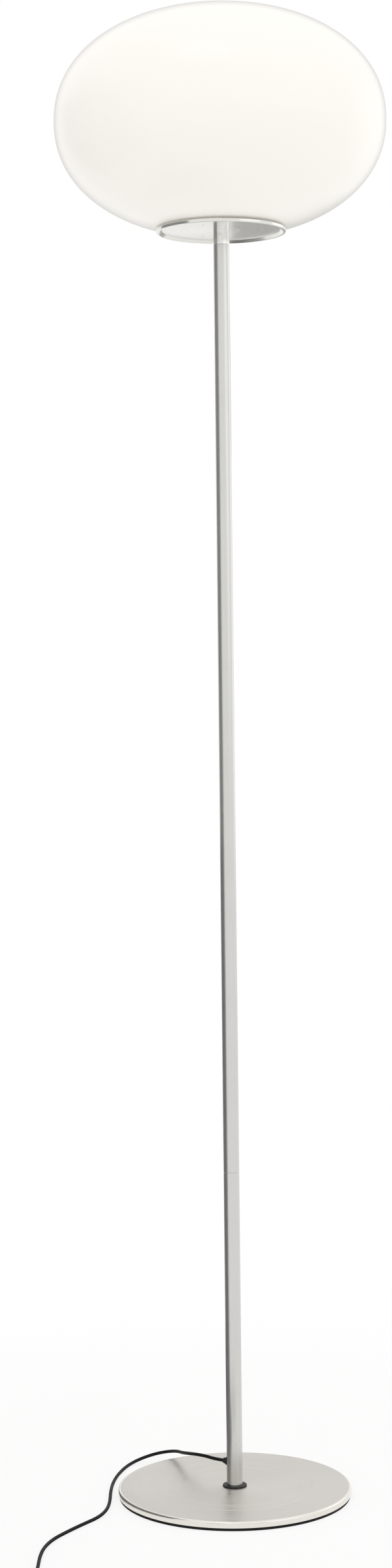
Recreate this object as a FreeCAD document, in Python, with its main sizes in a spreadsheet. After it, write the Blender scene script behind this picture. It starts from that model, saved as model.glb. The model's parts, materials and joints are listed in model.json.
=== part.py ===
import FreeCAD, Part
import math
import os
from types import SimpleNamespace

import Sketcher
from FreeCAD import Placement, Rotation, Vector

# A standing lamp: a flattened opal globe on a shallow round dish, a thin pole with a cord at its
# foot, and a flat round base. Millimetres and degrees. The floor is z = 0, the pole's axis is the
# z axis, and -y looks towards the viewer. Turns are counted anticlockwise from +x, seen from above.

SIZES = {
    # clearances that several fits share
    "slip_gap": 0.05,
    "thread_gap": 0.1,
    "seat_gap": 0.3,
    "hole_gap": 0.4,
    # base: cover, weight and pad
    "base_radius": 140.0,
    "base_body_height": 7.2,
    "base_edge_round": 2.6,
    "cover_skin": 1.2,
    "weight_chamfer": 2.4,
    "pad_thickness": 3.4,
    "pad_inset": 1.2,
    "pad_hole_radius": 14.0,
    # bolt from the base into the pole
    "bolt_radius": 5.0,
    "bolt_length": 24.0,
    "bolt_head_radius": 10.0,
    "bolt_tip_chamfer": 0.8,
    "bolt_socket_flats": 6.0,
    "bolt_socket_depth": 3.5,
    "foot_ring_radius": 14.5,
    "foot_ring_thickness": 1.8,
    "foot_ring_chamfer": 0.5,
    # pole
    "pole_radius": 9.5,
    "pole_wall": 1.2,
    "pole_end_chamfer": 0.4,
    "pole_joint_height": 378.0,
    "foot_plug_length": 16.0,
    "joint_socket_length": 16.0,
    "joint_stud_length": 14.0,
    "joint_stud_reach": 13.0,
    "joint_thread_radius": 6.5,
    "lead_bore_radius": 4.0,
    "head_plug_length": 18.0,
    # cord and its way out of the pole
    "cord_radius": 2.0,
    "cord_exit_height": 28.5,
    "cord_exit_turn": 150.0,
    "cord_hole_radius": 3.9,
    "lead_bend_radius": 6.0,
    "bushing_reach": 6.0,
    "bushing_flange_radius": 5.0,
    "bushing_flange_thickness": 1.5,
    "bushing_nose_radius": 4.1,
    "bushing_tip_radius": 2.7,
    "bushing_catch_radius": 4.6,
    "bushing_catch_thickness": 0.8,
    # neck and dish
    "neck_radius": 9.85,
    "neck_height": 17.0,
    "neck_chamfer": 0.5,
    "dish_radius": 78.0,
    "dish_rim_level": 1519.2,
    "dish_recess": 3.0,
    "dish_skin": 1.6,
    "dish_rim_land": 3.0,
    "dish_slope": 4.0,
    "dish_edge_round": 1.1,
    "nipple_radius": 5.0,
    "nipple_bore_radius": 3.6,
    "nipple_grip": 16.0,
    "washer_radius": 10.0,
    "washer_thickness": 1.0,
    "nut_flats": 14.0,
    "nut_height": 4.0,
    # glass and what holds it
    "globe_radius": 200.0,
    "globe_half_height": 134.6,
    "globe_squareness": 2.157,
    "globe_middle_rise": 127.5,
    "glass_wall": 3.0,
    "mouth_radius": 60.0,
    "gasket_thickness": 1.2,
    "gasket_width": 9.0,
    "gasket_inset": 1.0,
    "clip_strip": 0.8,
    "clip_width": 12.0,
    "clip_height": 16.0,
    "clip_foot_length": 12.0,
    "clip_spread": 9.5,
    "clip_kick": 1.5,
    "clip_bend": 1.2,
    "rivet_radius": 1.5,
    "rivet_head_radius": 3.0,
    "rivet_head_height": 1.2,
    # lampholder
    "holder_radius": 19.5,
    "holder_cap_height": 22.0,
    "holder_cap_wall": 3.2,
    "holder_cap_floor": 3.0,
    "holder_cap_chamfer": 3.0,
    "holder_boss_radius": 8.0,
    "holder_boss_height": 9.0,
    "holder_sleeve_wall": 2.0,
    "holder_sleeve_height": 35.0,
    "holder_lip_radius": 14.4,
    "holder_lip_thickness": 2.0,
    "holder_core_height": 7.0,
    "holder_thread_radius": 13.6,
    "holder_thread_height": 24.0,
    "holder_thread_skin": 0.6,
    "contact_strip": 0.5,
    "contact_width": 6.0,
    "contact_lift": 3.4,
    "contact_half_length": 8.0,
    "terminal_side": 5.0,
    "terminal_height": 4.0,
    "terminal_offset": 9.5,
    "wire_radius": 0.9,
    "wire_offset": 1.2,
    # bulb
    "bulb_length": 106.0,
    "bulb_radius": 30.0,
    "bulb_skin": 1.0,
    "bulb_neck_height": 8.0,
    "bulb_cap_radius": 12.8,
    "bulb_cap_height": 20.0,
    "bulb_cap_skin": 0.5,
    "bulb_insulator_height": 4.2,
    "bulb_insulator_radius": 11.4,
    "bulb_contact_radius": 4.7,
    "bulb_contact_height": 2.3,
    # foot switch
    "switch_x": -108.0,
    "switch_y": -362.0,
    "switch_length": 80.0,
    "switch_width": 36.0,
    "switch_height": 21.0,
    "switch_split": 9.0,
    "switch_corner": 14.0,
    "switch_wall": 2.0,
    "switch_top_round": 3.5,
    "switch_bottom_chamfer": 1.0,
    "button_radius": 12.5,
    "button_flange": 1.5,
    "button_rise": 4.0,
    "button_crown": 0.8,
    "plunger_radius": 3.0,
    "plunger_depth": 9.2,
    "plunger_room": 3.5,
    "block_length": 24.0,
    "block_width": 16.0,
    "block_height": 9.0,
    "switch_terminal_side": 5.0,
    "switch_terminal_x": 17.0,
    "switch_terminal_y": 4.5,
    "screw_x": 24.0,
    "screw_y": 11.0,
    "screw_radius": 1.5,
    "screw_head_radius": 2.9,
    "screw_head_height": 1.8,
    "screw_length": 14.0,
    "boss_wall": 1.2,
    "relief_length": 14.0,
    "relief_neck_radius": 3.9,
    "relief_root_radius": 4.6,
    "relief_flange_radius": 5.2,
    "relief_flange_thickness": 1.5,
    # coil and its ties
    "coil_outer_radius": 33.2,
    "coil_pitch": 4.6,
    "coil_layer_rise": 4.5,
    "coil_layer_turns": 4.0,
    "tie_strap": 0.8,
    "tie_width": 5.0,
    "tie_count": 2,
    # plug
    "plug_length": 36.0,
    "plug_width": 35.2,
    "plug_thickness": 13.7,
    "plug_shoulder": 14.0,
    "plug_back_width": 16.0,
    "plug_round": 2.5,
    "plug_relief_length": 24.0,
    "plug_relief_radius": 5.0,
    "pin_radius": 2.0,
    "pin_core_radius": 1.5,
    "pin_length": 19.0,
    "pin_sleeve_length": 10.0,
    "pin_root": 10.0,
    "pin_spread": 9.3,
}

# Routes of the cord's free stretches: its centre's turning points, chosen by hand on the floor
# plan. The first leaves the pole, drops behind the base, rounds it and runs forward to the switch.
LAMP_SIDE_ROUTE = [
    (-13.43, 7.754, 39.1),
    (-23.82, 13.753, 39.1),
    (-35.0, 24.0, 39.8),
    (-46.5, 41.0, 37.0),
    (-56.0, 65.0, 31.2),
    (-64.0, 90.0, 25.0),
    (-70.0, 113.0, 20.2),
    (-82.0, 131.0, 14.8),
    (-99.0, 139.0, 9.5),
    (-117.0, 135.0, 4.6),
    (-130.5, 120.0, 2.0),
    (-139.0, 95.0, 2.0),
    (-145.5, 66.0, 2.0),
    (-149.0, 36.0, 2.0),
    (-150.0, 4.0, 2.0),
    (-149.5, -29.0, 2.0),
    (-152.0, -61.0, 2.0),
    (-161.0, -89.0, 2.0),
    (-177.5, -112.5, 2.0),
    (-193.5, -137.5, 2.0),
    (-209.5, -165.0, 2.0),
    (-218.5, -194.0, 2.0),
    (-221.5, -225.0, 2.0),
    (-221.5, -256.0, 2.0),
    (-222.0, -284.0, 2.0),
    (-219.0, -310.0, 2.0),
    (-211.0, -335.0, 2.4),
    (-196.0, -355.0, 5.5),
    (-178.0, -362.0, 9.0),
    (-162.0, -362.0, 9.0),
]
TO_COIL_ROUTE = [
    (-54.0, -362.0, 9.0),
    (-40.0, -362.0, 9.0),
    (-23.0, -367.0, 6.8),
    (-7.7, -377.5, 4.2),
    (9.5, -382.5, 3.1),
    (23.0, -382.5, 3.1),
]
TO_PLUG_ROUTE = [
    (31.0, -382.5, 7.6),
    (44.0, -382.5, 7.6),
    (62.0, -377.5, 7.2),
    (82.0, -374.0, 6.85),
    (98.0, -374.0, 6.85),
]

DOC = FreeCAD.newDocument("GlobeFloorLamp")
SUB_PARTS = []


# ---------------------------------------------------------------- sizes and what follows from them


class Size:
    """A length that knows its own formula.

    value is the number that Part's functions take, and text is the formula that binds a property
    to the sheet.
    """

    def __init__(self, value, text):
        self.value = float(value)
        self.text = text

    def _join(self, other, sign, value):
        return Size(value, f"({self.text} {sign} {other.text})")

    def __add__(self, other):
        other = as_size(other)
        return self._join(other, "+", self.value + other.value)

    def __sub__(self, other):
        other = as_size(other)
        return self._join(other, "-", self.value - other.value)

    def __mul__(self, other):
        other = as_size(other)
        return self._join(other, "*", self.value * other.value)

    def __truediv__(self, other):
        other = as_size(other)
        return self._join(other, "/", self.value / other.value)

    def __neg__(self):
        return Size(-self.value, f"(-1 * {self.text})")

    def root(self):
        """The square root."""
        return Size(math.sqrt(self.value), f"sqrt({self.text})")


def as_size(number):
    """A plain number as a Size whose formula is the number itself."""
    if isinstance(number, Size):
        return number
    return Size(number, f"({float(number)!r})")


def fill_sheet():
    """Write the driving sizes to the sheet and hand them back as Sizes."""
    sheet = DOC.addObject("Spreadsheet::Sheet", "Sizes")
    for row, (alias, number) in enumerate(SIZES.items(), start=1):
        sheet.set(f"A{row}", alias)
        sheet.set(f"B{row}", str(number))
        sheet.setAlias(f"B{row}", alias)
    DOC.recompute()
    return SimpleNamespace(**{alias: Size(sheet.get(alias), f"Sizes.{alias}") for alias in SIZES})


def work_out_places(d):
    """Heights and radii that several pieces share, all made from the driving sizes."""
    at = SimpleNamespace()
    at.base_top = d.pad_thickness + d.base_body_height
    at.bolt_hole = d.bolt_radius + d.hole_gap
    at.bolt_foot = d.pad_thickness + d.seat_gap
    at.pole_foot = at.base_top + d.foot_ring_thickness
    at.pole_bore = d.pole_radius - d.pole_wall
    at.insert_radius = at.pole_bore - d.slip_gap
    at.cord_exit = at.base_top + d.cord_exit_height
    at.joint = at.base_top + d.pole_joint_height
    at.dish_under = d.dish_rim_level + d.dish_recess
    at.dish_top = at.dish_under + d.dish_skin
    at.pole_top = at.dish_under - d.neck_height
    at.nipple_hole = d.nipple_radius + d.thread_gap
    at.washer_top = at.dish_top + d.washer_thickness
    at.nut_top = at.washer_top + d.nut_height
    at.cap_top = at.nut_top + d.holder_cap_height
    at.boss_top = at.nut_top + d.holder_boss_height
    at.nipple_top = at.boss_top - d.seat_gap
    at.lead_top = at.boss_top + d.seat_gap
    at.core_top = at.cap_top + d.holder_core_height
    at.sleeve_top = at.cap_top + d.holder_sleeve_height
    at.sleeve_bore = d.holder_radius - d.holder_sleeve_wall
    at.bulb_tip = at.core_top + d.contact_lift + d.seat_gap
    at.bulb_insulator_foot = at.bulb_tip + d.bulb_contact_height
    at.bulb_cap_foot = at.bulb_insulator_foot + d.bulb_insulator_height
    at.bulb_cap_top = at.bulb_cap_foot + d.bulb_cap_height
    at.glass_seat = at.dish_top + d.gasket_thickness
    at.globe_middle = at.glass_seat + d.globe_middle_rise
    reach = d.mouth_radius - d.seat_gap
    half_width = d.clip_width / 2
    at.clip_reach = (reach * reach - half_width * half_width).root()
    at.clip_upright = at.clip_reach - d.clip_spread
    at.rivet_circle = at.clip_upright - d.clip_foot_length / 2
    at.switch_roof = d.switch_height - d.switch_wall
    at.button_foot = at.switch_roof - d.seat_gap - d.button_flange
    at.button_hole = d.button_radius + d.seat_gap
    at.block_top = d.switch_wall + d.block_height
    at.boss_radius = d.screw_head_radius + d.slip_gap + d.boss_wall
    at.coil_floor = d.tie_strap + d.seat_gap + d.cord_radius
    return at


# ---------------------------------------------------------------- bodies, sketches and features


def register(thing, label):
    """Name a finished sub-part and list it for the export."""
    thing.Label = label
    SUB_PARTS.append(thing)
    return thing


def bind(thing, prop, size):
    """Tie one property to the sheet."""
    thing.setExpression(prop, as_size(size).text)


def new_body(label):
    """A listed body, empty as yet."""
    return register(DOC.addObject("PartDesign::Body", label), label)


def origin_feature(body, role):
    """One of the body's own origin planes or axes."""
    return next(f for f in body.Origin.OriginFeatures if f.Role == role)


def new_sketch(body, role, height=0.0):
    """A sketch on one of the body's origin planes, height along the plane's normal."""
    sketch = body.newObject("Sketcher::SketchObject", f"{body.Label}_sketch")
    sketch.AttachmentSupport = [(origin_feature(body, role), "")]
    sketch.MapMode = "FlatFace"
    bind(sketch, "AttachmentOffset.Base.z", height)
    return sketch


def pin(sketch, geometry, point, x, y):
    """Hold one point of a sketch at x, y from its origin."""
    for kind, axis, size in (("DistanceX", -2, as_size(x)), ("DistanceY", -1, as_size(y))):
        if size.value == 0:
            sketch.addConstraint(Sketcher.Constraint("PointOnObject", geometry, point, axis))
            continue
        held = Sketcher.Constraint(kind, -1, 1, geometry, point, size.value)
        number = sketch.addConstraint(held)
        bind(sketch, f"Constraints[{number}]", size)


def hold_radius(sketch, geometry, radius):
    """Hold the radius of a circle or an arc."""
    number = sketch.addConstraint(Sketcher.Constraint("Radius", geometry, as_size(radius).value))
    bind(sketch, f"Constraints[{number}]", radius)


def polygon(sketch, corners):
    """A closed outline through the corners, each held at its own x and y."""
    first = sketch.GeometryCount
    count = len(corners)
    flat = [Vector(as_size(x).value, as_size(y).value, 0) for x, y in corners]
    for i in range(count):
        sketch.addGeometry(Part.LineSegment(flat[i], flat[(i + 1) % count]))
    for i in range(count):
        after = first + (i + 1) % count
        sketch.addConstraint(Sketcher.Constraint("Coincident", first + i, 2, after, 1))
    for i, (x, y) in enumerate(corners):
        pin(sketch, first + i, 1, x, y)


def circle(sketch, radius, x=0.0, y=0.0):
    """A circle of that radius about x, y."""
    middle = Vector(as_size(x).value, as_size(y).value, 0)
    round_ = Part.Circle(middle, Vector(0, 0, 1), as_size(radius).value)
    number = sketch.addGeometry(round_)
    pin(sketch, number, 3, x, y)
    hold_radius(sketch, number, radius)


def rounded_rectangle(sketch, length, width, corner):
    """A rectangle about the origin, length along x, with round corners."""
    quadrants = ((1, 1), (-1, 1), (-1, -1), (1, -1))
    along = length / 2 - corner
    across = width / 2 - corner
    arcs = []
    for i, (sx, sy) in enumerate(quadrants):
        middle = Vector(sx * along.value, sy * across.value, 0)
        ring = Part.Circle(middle, Vector(0, 0, 1), corner.value)
        start = math.pi / 2 * i
        arcs.append(Part.ArcOfCircle(ring, start, start + math.pi / 2))
        sketch.addGeometry(arcs[i])
    for i in range(4):
        sketch.addGeometry(Part.LineSegment(arcs[i].EndPoint, arcs[(i + 1) % 4].StartPoint))
    for i, (sx, sy) in enumerate(quadrants):
        pin(sketch, i, 3, along if sx > 0 else -along, across if sy > 0 else -across)
        hold_radius(sketch, i, corner)
        sketch.addConstraint(Sketcher.Constraint("Tangent", i, 2, 4 + i, 1))
        sketch.addConstraint(Sketcher.Constraint("Tangent", 4 + i, 2, (i + 1) % 4, 1))


def hexagon(sketch, flats):
    """A hexagon of that width across its flats, about the origin."""
    corner = flats / math.sqrt(3)
    turns = [math.radians(60 * i + 30) for i in range(6)]
    polygon(sketch, [(corner * math.cos(turn), corner * math.sin(turn)) for turn in turns])


def revolve(body, corners, axis="V_Axis"):
    """Turn an outline in the XZ plane about the z axis, or about the x axis with H_Axis."""
    sketch = new_sketch(body, "XZ_Plane")
    polygon(sketch, corners)
    turn = body.newObject("PartDesign::Revolution", f"{body.Label}_turn")
    turn.Profile = sketch
    turn.ReferenceAxis = (sketch, [axis])
    turn.Angle = 360
    return turn


def pad(body, sketch, length, both_ways=False):
    """Add the sketch's area along its normal."""
    feature = body.newObject("PartDesign::Pad", f"{body.Label}_pad")
    feature.Profile = sketch
    bind(feature, "Length", length)
    feature.SideType = "Symmetric" if both_ways else "One side"
    return feature


def pocket(body, sketch, length, forward=False, both_ways=False):
    """Cut the sketch's area against its normal, or along it with forward."""
    DOC.recompute()
    before = body.Shape.Volume
    feature = body.newObject("PartDesign::Pocket", f"{body.Label}_pocket")
    feature.Profile = sketch
    bind(feature, "Length", length)
    feature.Reversed = forward
    feature.SideType = "Symmetric" if both_ways else "One side"
    DOC.recompute()
    if body.Shape.Volume > before - 0.01:
        raise RuntimeError(f"{body.Label}: a pocket cuts nothing")
    return feature


def repeat_round(body, features, count):
    """Repeat features about the body's z axis."""
    pattern = body.newObject("PartDesign::PolarPattern", f"{body.Label}_round")
    pattern.Originals = features
    pattern.Axis = (origin_feature(body, "Z_Axis"), [""])
    pattern.Angle = 360
    pattern.Occurrences = count
    body.Tip = pattern
    return pattern


def dress(body, kind, size, wanted):
    """Fillet or chamfer the edges for which wanted(edge) holds."""
    DOC.recompute()
    base = body.Tip
    names = [f"Edge{i}" for i, edge in enumerate(base.Shape.Edges, start=1) if wanted(edge)]
    if not names:
        raise RuntimeError(f"{body.Label}: no edge to {kind.lower()}")
    feature = body.newObject(f"PartDesign::{kind}", f"{body.Label}_{kind.lower()}")
    feature.Base = (base, names)
    bind(feature, "Radius" if kind == "Fillet" else "Size", size)
    return feature


def is_ring(radius, height):
    """Picks the circular edge of that radius and height about the z axis."""

    def wanted(edge):
        if not isinstance(edge.Curve, Part.Circle):
            return False
        high = abs(edge.Curve.Center.z - height.value) < 1e-4
        return high and abs(edge.Curve.Radius - radius.value) < 1e-4

    return wanted


def is_level(height):
    """Picks the edges that lie flat at that height."""

    def wanted(edge):
        box = edge.BoundBox
        return abs(box.ZMin - height.value) < 1e-4 and abs(box.ZMax - height.value) < 1e-4

    return wanted


def turned(label, corners):
    """A listed piece turned about the z axis, from its (radius, height) corners."""
    body = new_body(label)
    revolve(body, corners)
    return body


def ring(label, outer, inner, low, high):
    """A listed plain ring."""
    return turned(label, [(inner, low), (outer, low), (outer, high), (inner, high)])


def place(thing, x=0.0, y=0.0, z=0.0, axis=Vector(0, 0, 1), angle=0.0):
    """Turn a sub-part about an axis through its origin and set it at x, y, z."""
    thing.Placement = Placement(Vector(0, 0, 0), Rotation(axis, as_size(angle).value))
    for letter, size in (("x", x), ("y", y), ("z", z)):
        bind(thing, f"Placement.Base.{letter}", size)


def solid_feature(label, shape):
    """A listed sub-part whose solid is made with Part's own functions."""
    feature = DOC.addObject("Part::Feature", label)
    feature.Shape = shape
    feature.Placement = Placement()
    return register(feature, label)


# ---------------------------------------------------------------- paths and tubes


def round_route(points, bend=math.inf):
    """Straight runs joined by tangent arcs: the edges, the least radius and the length.

    Each arc takes 45 % of the shorter run beside it, unless bend holds it to a smaller radius.
    """
    spots = [Vector(*p) for p in points]
    edges = []
    least = math.inf
    start = spots[0]
    for before, corner, after in zip(spots, spots[1:], spots[2:]):
        back = (before - corner).normalize()
        on = (after - corner).normalize()
        half_turn = (math.pi - back.getAngle(on)) / 2
        share = 0.45 * min((before - corner).Length, (after - corner).Length)
        radius = min(bend, share / math.tan(half_turn))
        share = radius * math.tan(half_turn)
        least = min(least, radius)
        leave = corner + back * share
        join = corner + on * share
        inward = (back + on).normalize()
        middle = corner + inward * (radius / math.cos(half_turn) - radius)
        edges.append(Part.LineSegment(start, leave).toShape())
        edges.append(Part.Arc(leave, middle, join).toShape())
        start = join
    edges.append(Part.LineSegment(start, spots[-1]).toShape())
    return edges, least, sum(edge.Length for edge in edges)


def sweep(edges, section):
    """A closed solid of that section along joined edges."""
    return Part.Wire(edges).makePipeShell([section], True, False)


def round_section(start, heading, radius):
    """A circle square to the path where it starts."""
    return Part.Wire([Part.Circle(start, heading, radius).toShape()])


def cord_tube(label, points, radius):
    """A stretch of cord along its route, with its radii and its volume printed."""
    edges, least, length = round_route(points)
    start = Vector(*points[0])
    solid = sweep(edges, round_section(start, Vector(*points[1]) - start, radius))
    share = solid.Volume / (math.pi * radius**2 * length)
    print(f"{label}: length {length:.1f}, least radius {least:.1f}, volume over section {share:.4f}")
    return solid_feature(label, solid)


def arc_from(start, control, end):
    """The arc from start to end whose tangents meet at control."""
    chord = end - start
    to_control = control - (start + end) / 2
    tangent = (control - start).Length
    if to_control.Length < 1e-7:
        return Part.LineSegment(start, end).toShape()
    half_turn = math.acos(min(1.0, chord.Length / 2 / tangent))
    rise = chord.Length / 2 * math.tan(half_turn / 2)
    middle = (start + end) / 2 + to_control.normalize() * rise
    return Part.Arc(start, middle, end).toShape()


def biarc(start, heading, end, last_heading):
    """Two arcs that join start to end and follow both headings."""
    span = end - start
    both = heading + last_heading
    spread = 2 * (1 - heading.dot(last_heading))
    along = span.dot(both)
    reach = (math.sqrt(along**2 + spread * span.dot(span)) - along) / spread
    first_control = start + heading * reach
    last_control = end - last_heading * reach
    joint = (first_control + last_control) / 2
    return [arc_from(start, first_control, joint), arc_from(joint, last_control, end)]


# ---------------------------------------------------------------- base


def make_base_cover(d, at):
    """Spun sheet cover: a flat top and a short skirt with a rounded edge."""
    under = at.base_top - d.cover_skin
    inside = d.base_radius - d.cover_skin
    cover = turned(
        "base_cover",
        [
            (at.bolt_hole, under),
            (inside, under),
            (inside, d.pad_thickness),
            (d.base_radius, d.pad_thickness),
            (d.base_radius, at.base_top),
            (at.bolt_hole, at.base_top),
        ],
    )
    dress(cover, "Fillet", d.base_edge_round, is_ring(d.base_radius, at.base_top))
    dress(cover, "Fillet", d.base_edge_round - d.cover_skin, is_ring(inside, under))


def make_base_weight(d, at):
    """Steel plate under the cover, countersunk from below for the bolt."""
    top = at.base_top - d.cover_skin
    edge = d.base_radius - d.cover_skin - d.seat_gap
    sink = d.bolt_head_radius + d.thread_gap
    cone_top = at.bolt_foot + sink - at.bolt_hole
    turned(
        "base_weight",
        [
            (sink, d.pad_thickness),
            (edge, d.pad_thickness),
            (edge, top - d.weight_chamfer),
            (edge - d.weight_chamfer, top),
            (at.bolt_hole, top),
            (at.bolt_hole, cone_top),
            (sink, at.bolt_foot),
        ],
    )


def make_base_pad(d):
    """Soft pad that the lamp stands on, open in the middle for the bolt."""
    ring("base_pad", d.base_radius - d.pad_inset, d.pad_hole_radius, as_size(0), d.pad_thickness)


def make_base_bolt(d, at):
    """Countersunk bolt with a hexagon socket."""
    low = at.bolt_foot
    high = low + d.bolt_length
    bolt = turned(
        "base_bolt",
        [
            (0, low),
            (d.bolt_head_radius, low),
            (d.bolt_radius, low + d.bolt_head_radius - d.bolt_radius),
            (d.bolt_radius, high - d.bolt_tip_chamfer),
            (d.bolt_radius - d.bolt_tip_chamfer, high),
            (0, high),
        ],
    )
    socket = new_sketch(bolt, "XY_Plane", low)
    hexagon(socket, d.bolt_socket_flats)
    pocket(bolt, socket, d.bolt_socket_depth, forward=True)


def make_foot_ring(d, at):
    """Dark washer between the base and the pole."""
    washer = ring("foot_ring", d.foot_ring_radius, at.bolt_hole, at.base_top, at.pole_foot)
    dress(washer, "Chamfer", d.foot_ring_chamfer, is_ring(d.foot_ring_radius, at.pole_foot))


# ---------------------------------------------------------------- pole


def make_pole(d, at):
    """Two tubes end to end, with a fine groove where their chamfered ends meet."""
    lower = ring("pole_lower", d.pole_radius, at.pole_bore, at.pole_foot, at.joint)
    dress(lower, "Chamfer", d.pole_end_chamfer, is_ring(d.pole_radius, at.joint))
    hole = new_sketch(lower, "YZ_Plane")
    circle(hole, d.cord_hole_radius, 0, at.cord_exit)
    pocket(lower, hole, d.pole_radius + d.hole_gap, forward=True)
    place(lower, angle=d.cord_exit_turn)
    upper = ring("pole_upper", d.pole_radius, at.pole_bore, at.joint, at.pole_top)
    dress(upper, "Chamfer", d.pole_end_chamfer, is_ring(d.pole_radius, at.joint))


def make_pole_inserts(d, at):
    """Tapped plugs in the pole's ends, and the socket and hollow stud that join its tubes."""
    tapped = d.bolt_radius + d.thread_gap
    foot_top = at.pole_foot + d.foot_plug_length
    ring("foot_plug", at.insert_radius, tapped, at.pole_foot, foot_top)
    socket_bore = d.joint_thread_radius + d.thread_gap
    ring("joint_socket", at.insert_radius, socket_bore, at.joint - d.joint_socket_length, at.joint)
    turned(
        "joint_stud",
        [
            (d.lead_bore_radius, at.joint - d.joint_stud_reach),
            (d.joint_thread_radius, at.joint - d.joint_stud_reach),
            (d.joint_thread_radius, at.joint),
            (at.insert_radius, at.joint),
            (at.insert_radius, at.joint + d.joint_stud_length),
            (d.lead_bore_radius, at.joint + d.joint_stud_length),
        ],
    )
    ring("head_plug", at.insert_radius, at.nipple_hole, at.pole_top - d.head_plug_length, at.pole_top)


def make_cord_bushing(d, at):
    """Strain relief: a flange saddled on the tube, a tapered nose and a catch inside the wall."""
    bushing = new_body("cord_bushing")
    flange_end = d.pole_radius + d.bushing_flange_thickness
    tip = d.pole_radius + d.bushing_reach
    revolve(
        bushing,
        [
            (at.pole_bore, 0),
            (tip, 0),
            (tip, d.bushing_tip_radius),
            (flange_end, d.bushing_nose_radius),
            (flange_end, d.bushing_flange_radius),
            (at.pole_bore, d.bushing_flange_radius),
        ],
        axis="H_Axis",
    )
    saddle = new_sketch(bushing, "XY_Plane")
    circle(saddle, d.pole_radius + d.slip_gap)
    pocket(bushing, saddle, d.bushing_flange_radius * 4, both_ways=True)
    shank = d.cord_hole_radius - d.slip_gap
    catch = d.lead_bend_radius + d.bushing_catch_thickness
    revolve(
        bushing,
        [
            (d.lead_bend_radius, 0),
            (flange_end, 0),
            (flange_end, shank),
            (catch, shank),
            (catch, d.bushing_catch_radius),
            (d.lead_bend_radius, d.bushing_catch_radius),
        ],
        axis="H_Axis",
    )
    place(bushing, z=at.cord_exit, angle=d.cord_exit_turn)


def make_inner_lead(d, at):
    """The lead inside the pole: from the bushing it bends up and climbs to the lampholder."""
    bend = d.lead_bend_radius.value
    low = at.cord_exit.value
    start = Vector(bend, 0, low)
    middle = Vector(bend * (1 - math.sqrt(0.5)), 0, low + bend * (1 - math.sqrt(0.5)))
    corner_top = Vector(0, 0, low + bend)
    edges = [
        Part.Arc(start, middle, corner_top).toShape(),
        Part.LineSegment(corner_top, Vector(0, 0, at.lead_top.value)).toShape(),
    ]
    solid = sweep(edges, round_section(start, Vector(-1, 0, 0), d.cord_radius.value))
    lead = solid_feature("inner_lead", solid)
    place(lead, angle=d.cord_exit_turn)


# ---------------------------------------------------------------- neck and dish


def make_neck(d, at):
    """Bright sleeve between the pole and the dish."""
    neck = ring("neck_sleeve", d.neck_radius, at.nipple_hole, at.pole_top, at.dish_under)
    dress(neck, "Chamfer", d.neck_chamfer, is_ring(d.neck_radius, at.pole_top))


def make_dish(d, at):
    """Shallow dish: a flat plate with a rim that turns down, drilled for the clips' rivets."""
    plate_edge = d.dish_radius - d.dish_rim_land - d.dish_slope
    dish = turned(
        "dish",
        [
            (at.nipple_hole, at.dish_under),
            (plate_edge, at.dish_under),
            (d.dish_radius - d.dish_rim_land, d.dish_rim_level),
            (d.dish_radius, d.dish_rim_level),
            (d.dish_radius, at.dish_top),
            (at.nipple_hole, at.dish_top),
        ],
    )
    dress(dish, "Fillet", d.dish_edge_round, is_ring(d.dish_radius, d.dish_rim_level))
    dress(dish, "Fillet", d.dish_edge_round, is_ring(d.dish_radius, at.dish_top))
    hole = new_sketch(dish, "XY_Plane", at.dish_top)
    circle(hole, d.rivet_radius + d.slip_gap, at.rivet_circle)
    drilled = pocket(dish, hole, d.dish_skin + d.hole_gap)
    repeat_round(dish, [drilled], 3)


def make_head_fixings(d, at):
    """Hollow nipple, washer and nut that clamp the dish to the neck and the pole."""
    low = at.pole_top - d.nipple_grip
    ring("head_nipple", d.nipple_radius, d.nipple_bore_radius, low, at.nipple_top)
    ring("head_washer", d.washer_radius, at.nipple_hole, at.dish_top, at.washer_top)
    nut = new_body("head_nut")
    outline = new_sketch(nut, "XY_Plane", at.washer_top)
    hexagon(outline, d.nut_flats)
    circle(outline, at.nipple_hole)
    pad(nut, outline, d.nut_height)


# ---------------------------------------------------------------- glass, gasket and clips


def squared_oval(radius, half_height, squareness, last_angle):
    """Arcs down the side of a squared oval, from its top to last_angle below its waist."""
    stations = 5
    spots = []
    for i in range(stations + 1):
        angle = math.pi / 2 - (math.pi / 2 + last_angle) * i / stations
        out = radius * abs(math.cos(angle)) ** (2 / squareness) if i else 0.0
        up = math.copysign(half_height * abs(math.sin(angle)) ** (2 / squareness), angle)
        fall = (out / radius) ** (squareness - 1) / radius
        run = math.copysign((abs(up) / half_height) ** (squareness - 1) / half_height, up)
        spots.append((Vector(out, 0, up), Vector(run, 0, -fall).normalize()))
    edges = []
    for (start, heading), (end, last_heading) in zip(spots, spots[1:]):
        edges += biarc(start, heading, end, last_heading)
    return edges, spots[0][0], spots[-1][0]


def angle_at_depth(depth, half_height, squareness):
    """The oval's angle below its waist at that depth."""
    return math.asin((depth / half_height) ** (squareness / 2))


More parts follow.
